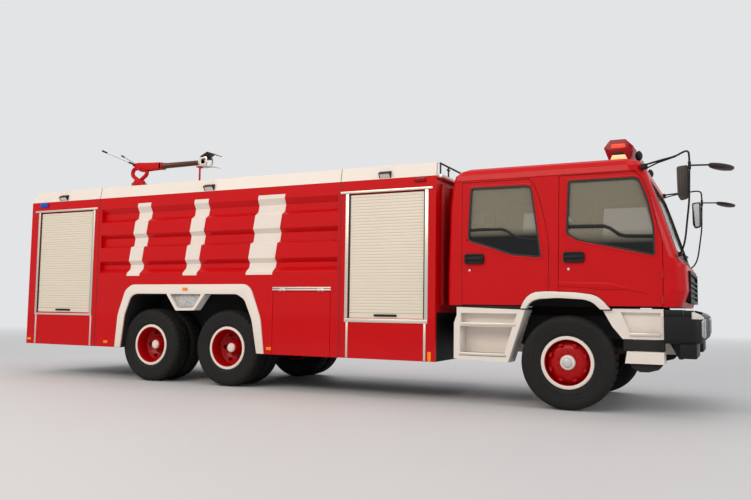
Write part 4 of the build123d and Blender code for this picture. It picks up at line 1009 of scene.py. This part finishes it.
# %% Model the windscreen's seal and cowl
screen = plate(bmesh.new(), [(-1043, 1742), (1043, 1742), (988, 2563), (-988, 2563)], (-16, 4), "front",
               bend=62, rim=25)
piece("windscreen_seal", laid_on(screen, cab_front, 7), "cab", seal_rubber, 60)
cowl = plate(bmesh.new(), [(-1130, 1640), (1130, 1640), (1110, 1722), (-1110, 1722)], (0, 9), "front")
piece("windscreen_cowl", laid_on(cowl, cab_front, 11), "cab", cab_plastic, 60)
print("windscreen sealed")

# %% [markdown]
# ## Wipers, handles and small cab parts
# Two wipers park along the foot of the windscreen. The door handle is a black frame with a pull
# bar across it and a key lock below. A folded rain gutter runs over the doors, and a pressed crease
# stiffens the front door.

# %% Model the cab's small parts
wipers = bmesh.new()
for pivot in (-860, 60):
    foot = cab_front(pivot, 1735)
    arm = [(pivot, 1735), (pivot + 330, 1800), (pivot + 720, 1812)]
    blade = [(pivot + 180, 1766), (pivot + 660, 1800), (pivot + 840, 1806)]
    for line, out, radius in ((arm, 30, 7), (blade, 12, 9)):
        pipe(wipers, [(cab_front(y, z) + out, y, z) for y, z in line], radius)
    block(wipers, (foot - 2, foot + 36), (pivot - 22, pivot + 22), (1713, 1757), 6)
piece("wipers", wipers, "cab", cab_plastic)

HANDLES = {"rear": ((-1185, -953), (1636, 1756)), "front": ((-27, 201), (1639, 1756))}
CREASE = [(-83, 1425), (445, 1413), (640, 1369), (877, 1292), (640, 1340), (389, 1337), (192, 1360),
          (-83, 1376)]
for word, letter, side in SIDES:
    for place, (x, z) in HANDLES.items():
        door = f"door_{place}_{letter}"
        handle = plate(bmesh.new(), box_line(x, z), (CAB_Y - 1, CAB_Y + 24), bend=26, bevel=2)
        plate(handle, box_line(x, z), (CAB_Y + 23, CAB_Y + 34), bend=26, rim=20, bevel=4)
        middle = sum(z) / 2
        block(handle, (x[0] + 16, x[1] - 16), (CAB_Y + 23, CAB_Y + 35), (middle - 13, middle + 13), 5)
        piece(f"door_handle_{place}_{word}", handle, door, cab_plastic, side=side)
        lock = turned(bmesh.new(), [(-1, 0), (-1, 14), (2, 14), (3, 11), (3, 0)],
                      (sum(x) / 2 - 60, CAB_Y, z[0] - 78), "Y", 20)
        piece(f"door_lock_{place}_{word}", lock, door, steel, side=side)
    crease = plate(bmesh.new(), widened(CREASE, 3), (CAB_Y - 1, CAB_Y + 9), bevel=6)
    piece(f"door_crease_{word}", crease, f"door_front_{letter}", red_paint, 60, side=side)
gutter = block(bmesh.new(), (-1330, 770), (CAB_Y - 2, CAB_Y + 9), (2629, 2640), 3)
piece("rain_gutters", gutter, "cab", red_paint, side=BOTH)
print("pieces so far:", len(PIECES))

# %% [markdown]
# ## Seats
# A seat is a sprung cushion in cloth on a painted box. Foam under a tight cover crowns in the
# middle and pulls in at its seams, so each cushion starts as a box, is subdivided, and every
# point is pushed out more the further it is from the edges.

# %% Model the seats
SEATS = [
    # middle x, middle y, width
    (240, 620, 500), (240, -620, 500), (-980, 0, 1900),
]
SEAT_TOP = 1192


def cushion(low, high, crown):
    """A closed soft box that swells by the crown in the middle of each face."""
    bm = bmesh.new()
    middle = (Vector(low) + Vector(high)) / 2
    half = (Vector(high) - Vector(low)) / 2
    bmesh.ops.create_cube(bm, size=2)
    bmesh.ops.subdivide_edges(bm, edges=bm.edges[:], cuts=9, use_grid_fill=True)
    for vert in bm.verts:
        u = vert.co.copy()
        for axis in range(3):
            others = [abs(u[i]) for i in range(3) if i != axis]
            swell = (1 - others[0] ** 4) * (1 - others[1] ** 4) - 0.5
            on_face = abs(u[axis]) > 0.99
            vert.co[axis] = middle[axis] + u[axis] * (half[axis] - crown) \
                + math.copysign(crown, u[axis]) * swell * on_face
    bmesh.ops.smooth_vert(bm, verts=bm.verts[:], factor=0.5, use_axis_x=True, use_axis_y=True,
                          use_axis_z=True)
    return bm


def seat_piece(name, bm):
    """A padded piece with one level of subdivision."""
    made = piece(name, bm, "cab", cloth, 80)
    rounding = made.modifiers.new("soft", "SUBSURF")
    rounding.levels = rounding.render_levels = 1


boxes = bmesh.new()
for number, (x, y, width) in enumerate(SEATS):
    half = width / 2
    block(boxes, (x - 200, x + 200), (y - half + 60, y + half - 60), (SEAT_TOP, SEAT_TOP + 258), 12)
    parts = 3 if width > 1000 else 1
    lean = Matrix.Translation((x, 0, SEAT_TOP + 400)) @ Matrix.Rotation(math.radians(-9), 4, "Y") @ \
        Matrix.Translation((-x - 180, 0, -SEAT_TOP - 400))
    for part in range(parts):
        low = y - half + part * width / parts + 4
        high = low + width / parts - 8
        middle = (low + high) / 2
        seat_piece(f"seat_cushion_{number}_{part}",
                   cushion((x - 236, low, SEAT_TOP + 262), (x + 256, high, SEAT_TOP + 398), 14))
        back = cushion((x - 52, low, SEAT_TOP + 400), (x + 52, high, SEAT_TOP + 1005), 14)
        bmesh.ops.transform(back, matrix=lean, verts=back.verts[:])
        seat_piece(f"seat_back_{number}_{part}", back)
        rest = cushion((x - 318, middle - 138, SEAT_TOP + 1020),
                       (x - 232, middle + 138, SEAT_TOP + 1176), 10)
        seat_piece(f"head_rest_{number}_{part}", rest)
        for post in (middle - 70, middle + 70):
            pipe(boxes, [(x - 272, post, SEAT_TOP + 940), (x - 276, post, SEAT_TOP + 1060)], 7)
piece("seat_boxes", boxes, "cab", cab_plastic, 35, ["cab_seats"])
print("seats made")

# %% [markdown]
# ## Steps
# The treads are aluminium with raised ribs for grip: a thin plate with a row of small bars. The
# front corner step is a pocket pressed into its white panel, so the pocket is cut from a copy of
# the step's solid. Below it is a black rubber bracket. A black strip under the cab, above the rear
# step, is painted shade in the gap between them.

# %% Model the steps' details
TREADS = [
    # x low, x high, y low, y high, top
    (-1235, -580, 1095, 1201, 947), (-1255, -690, 995, 1203, 597), (668, 980, 1121, 1187, 872),
]
steps = solid_shape("cab_steps")
pocket = plate(bmesh.new(), [(578, 1092), (980, 1092), (980, 872), (668, 872)], (1120, 1171))
cut_out(steps, both_sides(pocket))
piece("step_boxes", steps, "chassis", white_paint, 10, ["cab_steps"])
treads = bmesh.new()
for x_low, x_high, y_low, y_high, top in TREADS:
    block(treads, (x_low, x_high), (y_low, y_high), (top - 32, top), 3)
    for rib in range(y_low + 12, y_high - 8, 15):
        block(treads, (x_low + 14, x_high - 14), (rib, rib + 6), (top - 1, top + 3))
piece("step_tread_plates", treads, "chassis", aluminium, 35, ["step_treads"], BOTH)
brackets = block(bmesh.new(), (600, 1012), (1000, 1168), (682, 800), 6)
plate(brackets, [(650, 548), (1000, 548), (950, 486), (850, 458), (760, 458), (690, 500)], (990, 1150),
      bevel=5)
# Painted shade: a black strip fills the gap between the cab's floor and the rear step.
block(brackets, (-1285, -478), (1060, 1188), (1108, 1148), 4)
piece("step_brackets_and_gap_shade", brackets, "chassis", liner_black, side=BOTH)
print("steps made")

# %% [markdown]
# ## Wheel arch liners
# Inside each arch a black plastic or undersealed sheet keeps stones off the body. It follows the
# arch's inner outline, so the line is pulled across the truck and given 3 mm of thickness.

# %% Model the liners
REAR_LINER = [(-6526, 474), (-6462, 958), (-6351, 1217), (-6263, 1262), (-4436, 1262), (-4311, 1192),
              (-4186, 926), (-4095, 474)]
LINER_Y = 562
liners = bmesh.new()
corners = [liners.verts.new((x, LINER_Y, z)) for x, z in REAR_LINER]
lines = [liners.edges.new(two) for two in zip(corners, corners[1:])]
pulled = bmesh.ops.extrude_edge_only(liners, edges=lines)["geom"]
bmesh.ops.translate(liners, verts=[v for v in pulled if isinstance(v, bmesh.types.BMVert)],
                    vec=(0, 683, 0))
bmesh.ops.solidify(liners, geom=liners.faces[:], thickness=3)
plate(liners, REAR_LINER, (LINER_Y, LINER_Y + 4))
piece("rear_arch_liners", liners, "chassis", liner_black, side=BOTH)
print("liners made")

# %% [markdown]
# ## Arch flares
# The white flares are folded from sheet with round corners, so their outlines are drawn with only
# their feet kept square. The lamp pod hangs from the rear one, with its bowl cut out.

# %% Model the flares
FLARES = {
    # name: (solid, body, how far it reaches out, corner, outer line, inner line)
    "rear_flares": (
        "rear_arches", "chassis", (BODY_Y, BODY_Y + 22), 47,
        [(-6637, 475), (-6594, 954), (-6462, 1315), (-6338, 1400), (-4296, 1403), (-4205, 1339),
         (-4044, 945), (-3980, 475)],
        [(-6529, 475), (-6466, 958), (-6354, 1220), (-6265, 1266), (-4434, 1266), (-4308, 1195),
         (-4182, 926), (-4092, 475)]),
    "cab_flares": (
        "cab_arches", "cab", (1150, 1228), 44,
        [(-515, 1120), (-463, 1230), (-373, 1304), (-233, 1317), (104, 1306), (299, 1281), (387, 1227),
         (475, 1120)],
        [(-453, 1120), (-414, 1190), (-323, 1230), (-94, 1244), (201, 1228), (289, 1199), (370, 1120)]),
}
POD = [(-5674, 1267), (-5493, 1028), (-5161, 1037), (-4982, 1267)]
POD_BOWL = [(-5610, 1262), (-5473, 1068), (-5181, 1076), (-5046, 1262)]
for name, (solid, body, depth, corner, outer, inner) in FLARES.items():
    line = outer + inner[::-1]
    feet = (0, len(outer) - 1, len(outer), len(line) - 1)
    flare = plate(bmesh.new(), line, depth, bend=corner, bevel=3, square=feet)
    if name == "rear_flares":
        lamp_pod = plate(bmesh.new(), POD, (BODY_Y - 120, BODY_Y + 22), bend=14)
        cut_out(lamp_pod, plate(bmesh.new(), POD_BOWL, (BODY_Y - 80, BODY_Y + 30), bend=18))
        merged(flare, lamp_pod)
    piece(name, flare, body, white_paint, 35, [solid], BOTH)
print("flares made")

# %% [markdown]
# ## Lightbar and roof lamps
# The lightbar is a dark red moulded dome, six-sided in section, over a pale base that its lamps
# light up from inside. Its end caps show a lit strip, a dark band and the pale base. In front of
# it stand two small black egg-shaped housings.

# %% Model the lightbar
bar = plate(bmesh.new(), [(404, 2852), (636, 2852), (680, 3000), (592, 3088), (420, 3088), (350, 3000)],
            (-744, 744), bend=8, bevel=6)
for y in range(-500, 501, 250):
    block(bar, (346, 684), (y - 4, y + 4), (2990, 3004), 2)
piece("lightbar_dome", bar, "cab", red_lens, 30, ["lightbar"])
END_CAPS = {
    "base": (bulb_warm, [(424, 2853), (612, 2853), (588, 2906), (446, 2906)]),
    "strip": (bulb_red, [(434, 2990), (590, 2990), (586, 3034), (438, 3034)]),
    "band": (cab_plastic, [(452, 2908), (582, 2908), (566, 2938), (470, 2938)]),
}
for cap, (cap_finish, outline) in END_CAPS.items():
    cap_plate = plate(bmesh.new(), outline, (741, 748), bend=6, bevel=2)
    piece(f"lightbar_{cap}", cap_plate, "cab", cap_finish, side=BOTH)
EGG = [(-57, 0), (-56, 14), (-44, 32), (-14, 42), (14, 39), (40, 26), (55, 10), (57, 0)]
STALK = [(-150, 0), (-150, 12), (-50, 12), (-50, 0)]
feet = bmesh.new()
for y in (-560, 560):
    block(feet, (450, 590), (y - 60, y + 60), (2801, 2852), 6)
for y in (-620, 620):
    turned(feet, EGG, (725, y, 2905), "Z", 24)
    turned(feet, STALK, (725, y, 2905), "Z", 12)
piece("lightbar_feet", feet, "cab", cab_plastic)
print("lightbar made")

# %% [markdown]
# ## Mirrors
# A steel tube with a double stay reaches out from the roof corner and down to the cab's front. It
# carries a tall main mirror with a ribbed back and a round wide-angle one in front. The housings
# are soft boxes: a plate with a large bevel, and a spun dish.

# %% Model the mirrors
ARMS = [
    # points, radius, with rounded corners or not
    ([(845, 1160, 2690), (1010, 1235, 2716), (1165, 1290, 2735), (1240, 1380, 2758), (1295, 1445, 2755),
      (1305, 1450, 2700), (1305, 1450, 2600)], 10, True),
    ([(1305, 1450, 2610), (1300, 1450, 2400), (1297, 1450, 2230), (1280, 1425, 2100), (1235, 1330, 1740),
      (1165, 1180, 1690)], 10, True),
    ([(860, 1150, 2655), (980, 1215, 2694), (1165, 1288, 2734)], 8, False),
    ([(1304, 1450, 2600), (1500, 1450, 2592)], 9, False),
]
arms = bmesh.new()
for points, radius, smooth in ARMS:
    pipe(arms, points, radius, smooth)
block(arms, (798, 870), (1112, 1180), (2646, 2704), 8)
block(arms, (1290, 1320), (1436, 1464), (2560, 2640), 5)
piece("mirror_arms", arms, "cab", cab_plastic, 35, ["mirrors"], BOTH)
shells = plate(bmesh.new(), [(1180, 2600), (1288, 2611), (1300, 2440), (1288, 2262), (1216, 2244),
                             (1186, 2300)], (1400, 1445), bend=20, bevel=13)
for x in range(1206, 1273, 22):
    block(shells, (x - 4, x + 4), (1443, 1449), (2290, 2570), 2)
disc = turned(bmesh.new(), [(-22, 0), (-22, 70), (-14, 107), (0, 121), (12, 123), (20, 117), (22, 107),
                            (22, 0)], (0, 0, 0), "Z", 36)
placed = Matrix.Translation((1597, 1450, 2560)) @ Matrix.Rotation(math.radians(12), 4, "Y")
bmesh.ops.transform(disc, matrix=placed, verts=disc.verts[:])
piece("mirror_shells", merged(shells, disc), "cab", mirror_plastic, 40, side=BOTH)
faces = plate(bmesh.new(), [(1198, 2580), (1272, 2590), (1272, 2280), (1222, 2266)], (1396, 1401),
              bend=14)
piece("mirror_faces", faces, "cab", steel, side=BOTH)
print("mirrors made")

# %% [markdown]
# ## Parapet and guard rail
# The white parapet leans forward at the truck's rear and is open behind the guard rail in front,
# so it is made from a copy of its solid: the front wall is cut out and the rear edge is pushed
# forward more the higher it is. The rail is thin tube on an aluminium ledge, and folded stiffeners
# stand on the wall below it.

# %% Model the parapet and the rail
PARAPET_FOOT = 2720
PARAPET_RAKE = 0.52
SHEET = 41
parapet = solid_shape("parapet")
cut_out(parapet, plate(bmesh.new(), [(-1206, 2724), (1206, 2724), (1178, 2900), (-1178, 2900)],
                       (BODY_FRONT - SHEET, BODY_FRONT + 1), "front"))
for vert in parapet.verts:
    if vert.co.x < BODY_REAR + SHEET:
        vert.co.x += (vert.co.z - PARAPET_FOOT) * PARAPET_RAKE
piece("parapet_sheet", parapet, "chassis", white_paint, 30, ["parapet"])
RAIL_X = BODY_FRONT + 30
RAIL_Z = 2878
rail = pipe(bmesh.new(), [(RAIL_X, -1190, RAIL_Z), (RAIL_X, 1190, RAIL_Z)], 12)
for y in (-1178, -900, 0, 900, 1178):
    pipe(rail, [(RAIL_X, y, 2738), (RAIL_X, y, RAIL_Z)], 11)
for y in (-900, 900):
    block(rail, (RAIL_X - 12, RAIL_X + 12), (y - 35, y + 35), (2828, 2848), 3)
piece("guard_rail", rail, "chassis", frame_black, 35, ["front_rail"])
ledge = block(bmesh.new(), (BODY_FRONT, BODY_FRONT + 61), (-1201, 1201), (2699, 2741), 3)
piece("rail_ledge", ledge, "chassis", aluminium)
stiffeners = bmesh.new()
for y in range(-1050, 1051, 350):
    block(stiffeners, (BODY_FRONT - 2, BODY_FRONT + 25), (y - 25, y + 25), (1150, 2640), 5)
piece("front_wall_stiffeners", stiffeners, "chassis", red_paint)
print("parapet and rail made")

# %% [markdown]
# ## The roof monitor
# The monitor throws the foam. Water climbs a riser, splits round a heart-shaped pair of elbows so
# that the thrust stays in line, and leaves through a long bronze barrel. Two flaps at the muzzle can
# flatten the jet, and two long levers behind aim it. Pipes are curves, and flanges are spun rings.

# %% Model the monitor's riser and head
MONITOR_X = -7480
DECK_Z = 2750
HEAD_Z = 3180
TRUNNION = (-7420, 0, 3440)
POST_X = -6184
POST_TOP = 3360
BOLTS = 8
riser = turned(bmesh.new(), [(0, 0), (0, 140), (20, 140), (20, 76), (34, 62), (390, 62), (390, 130),
                             (428, 130), (428, 0)], (MONITOR_X, 0, DECK_Z), "Z", 36)
for index in range(BOLTS):
    turn = math.tau * index / BOLTS
    for z in (DECK_Z + 24, HEAD_Z - 4):
        bolt = Matrix.Translation((MONITOR_X + 106 * math.cos(turn), 106 * math.sin(turn), z))
        bmesh.ops.create_cone(riser, cap_ends=True, segments=6, radius1=13, radius2=12, depth=12,
                              matrix=bolt)
pipe(riser, [(POST_X, 0, DECK_Z + 1), (POST_X, 0, POST_TOP)], 16)
block(riser, (POST_X - 36, POST_X + 36), (-60, 60), (POST_TOP, POST_TOP + 21), 6)
piece("monitor_riser", riser, "chassis", red_paint, 35, ["monitor_base"])

ELBOW = [(0, 36), (70, 84), (158, 140), (160, 215), (110, 272), (0, 266)]
elbows = turned(bmesh.new(), [(2, 0), (2, 100), (38, 100), (44, 92), (44, 0)], (MONITOR_X, 0, HEAD_Z),
                "Z", 32)
for out in (-1, 1):
    pipe(elbows, [(MONITOR_X + out * x, 0, HEAD_Z + z) for x, z in ELBOW], 34, True, 16)
turned(elbows, [(-39, 0), (-39, 58), (-30, 64), (30, 64), (39, 58), (39, 0)], TRUNNION, "Y", 28)
turned(elbows, [(-76, 0), (-76, 22), (76, 22), (76, 0)], TRUNNION, "Y", 16)
piece("monitor_elbows", elbows, "monitor_head", red_paint, 40, ["monitor_head"])
print("monitor's riser and head made")

# %% Model the monitor's barrel
CRADLE = [(-7590, 3505), (-7480, 3530), (-7280, 3515), (-6980, 3502), (-6980, 3394), (-7200, 3392),
          (-7420, 3382), (-7490, 3400), (-7520, 3450), (-7600, 3480)]
cradle = bmesh.new()
for out in (-1, 1):
    plate(cradle, CRADLE, sorted((out * 44, out * 58)), bend=14, bevel=3)
    plate(cradle, box_line((-7470, -7370), (3400, 3510)), sorted((out * 44, out * 60)), bend=30, bevel=3)
block(cradle, (-7022, -6958), (-58, 58), (3388, 3502), 8)
block(cradle, (-7560, -7530), (-58, 58), (3470, 3505), 4)
piece("monitor_cradle", cradle, "monitor_barrel", red_paint, 35, ["monitor_barrel"])
tube = turned(bmesh.new(), [(0, 0), (0, 52), (70, 52), (90, 46), (780, 42), (800, 50), (846, 50), (846, 36),
                            (600, 34), (600, 0)], (-6980, 0, 3446), "X", 32)
piece("monitor_tube", tube, "monitor_barrel", bronze)
ring = turned(bmesh.new(), [(0, 46), (0, 66), (8, 70), (38, 70), (46, 64), (46, 46)], (-6174, 0, 3452),
              "X", 32)
piece("monitor_muzzle_ring", ring, "monitor_barrel", white_paint)
deflector = bmesh.new()
for y in (-84, 76):
    plate(deflector, [(-6132, 3376), (-6040, 3376), (-5990, 3400), (-5975, 3450), (-5990, 3522),
                      (-6132, 3522)], (y, y + 8), rim=30, bevel=2)
plate(deflector, [(-6132, 3376), (-5985, 3380), (-5836, 3346), (-5838, 3339), (-5985, 3371),
                  (-6132, 3368)], (-98, 98), bevel=1)
piece("monitor_deflector", deflector, "monitor_barrel", aluminium)
flap = plate(bmesh.new(), [(-6112, 3524), (-5960, 3594), (-5822, 3541), (-5826, 3531), (-5960, 3582),
                           (-6060, 3520)], (-108, 108), bevel=2)
block(flap, (-6130, -6040), (-70, 70), (3500, 3520), 4)
piece("monitor_upper_flap", flap, "monitor_barrel", dark_steel)
root = Vector((-7570, 51, 3506))
tip = Vector((-8144, 230, 3758))
piece("monitor_levers", pipe(bmesh.new(), [root, tip], 9), "monitor_barrel", steel, side=BOTH)
grips = bmesh.new()
for start, end in ((0.0, 0.16), (0.84, 0.99)):
    pipe(grips, [root.lerp(tip, start), root.lerp(tip, end)], 15, False, 12)
piece("monitor_grips", grips, "monitor_barrel", cab_plastic, side=BOTH)
print("monitor's barrel made")

# %% [markdown]
# ## The floor and the light
# The truck stands on a plain pale floor that runs out to a pale backdrop. Near the truck the floor
# is an ordinary rough surface and takes its shadow. Further out it fades to the backdrop's own
# colour for the camera, so no horizon line shows. Large soft lamps give long clean highlights
# along the painted sides, as a photographer's panels do for a car.

# %% Floor
floor_bm = bmesh.new()
bmesh.ops.create_circle(floor_bm, cap_ends=True, radius=90, segments=96)
floor_mesh = bpy.data.meshes.new("floor")
floor_bm.to_mesh(floor_mesh)
floor_bm.free()
floor = bpy.data.objects.new("floor", floor_mesh)
bpy.context.scene.collection.objects.link(floor)
BACKDROP = "E3E4E6"
FADES_FROM, FADED_AT = 9.0, 30.0
paint = finish("pale_studio_floor", ("C9CACC", "CDCED0"), 2600, (0.6, 0.75), 30, 0.3)
floor_mesh.materials.append(paint)
nodes = paint.node_tree.nodes
away = add(paint, "ShaderNodeVectorMath", {0: spot_on(paint)}, operation="LENGTH").outputs["Value"]
seen = add(paint, "ShaderNodeLightPath").outputs["Is Camera Ray"]
fade = sums(paint, "MULTIPLY", graded(paint, away, FADES_FROM, FADED_AT), seen)
plain = add(paint, "ShaderNodeEmission", {"Color": linear(BACKDROP), "Strength": 1.0}).outputs[0]
both = add(paint, "ShaderNodeMixShader", {0: fade, 1: nodes["Principled BSDF"].outputs[0], 2: plain})
paint.node_tree.links.new(both.outputs[0], nodes["Material Output"].inputs["Surface"])
print("floor laid")

# %% World and lamps
WORLD_LIGHT = 0.55
world = bpy.data.worlds.new("studio")
bpy.context.scene.world = world
world.use_nodes = True
rays = add(world, "ShaderNodeLightPath").outputs
direct = sums(world, "MAXIMUM", sums(world, "MAXIMUM", rays["Is Camera Ray"], rays["Is Glossy Ray"]),
              rays["Is Transmission Ray"])
lit = add(world, "ShaderNodeBackground", {"Color": linear("FFFFFF"), "Strength": WORLD_LIGHT}).outputs[0]
shown = add(world, "ShaderNodeBackground", {"Color": linear(BACKDROP), "Strength": 1.0}).outputs[0]
mixed = add(world, "ShaderNodeMixShader", {0: direct, 1: lit, 2: shown})
world.node_tree.links.new(mixed.outputs[0], world.node_tree.nodes["World Output"].inputs["Surface"])

LAMPS = [
    # name, place, looks at, width, height, watts, colour
    ("key", (-3, -12, 9), (0, 0, 1.2), 14, 5, 1010, "FFF3E4"),
    ("top", (0, 0, 12), (0, 0, 0), 14, 6, 320, "FFFFFF"),
    ("front", (14, -4, 5), (2, 0, 1.5), 6, 5, 300, "FFFFFF"),
    ("back", (-6, 13, 8), (0, 0, 1.5), 12, 5, 420, "FFFFFF"),
]
for name, place, aim, width, height, watts, colour in LAMPS:
    light = bpy.data.lights.new(name, "AREA")
    light.shape = "RECTANGLE"
    light.size = width
    light.size_y = height
    light.energy = watts
    light.color = linear(colour)[:3]
    lamp = bpy.data.objects.new(name, light)
    lamp.location = place
    lamp.rotation_mode = "QUATERNION"
    lamp.rotation_quaternion = (Vector(aim) - Vector(place)).to_track_quat("-Z", "Y")
    bpy.context.scene.collection.objects.link(lamp)
bpy.context.scene.view_settings.view_transform = "Standard"
print("lamps:", len(LAMPS))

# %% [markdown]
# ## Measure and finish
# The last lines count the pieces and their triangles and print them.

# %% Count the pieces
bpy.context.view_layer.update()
triangles = sum(len(p.vertices) - 2 for made in PIECES for p in made.data.polygons)
print("pieces:", len(PIECES), "triangles:", triangles)
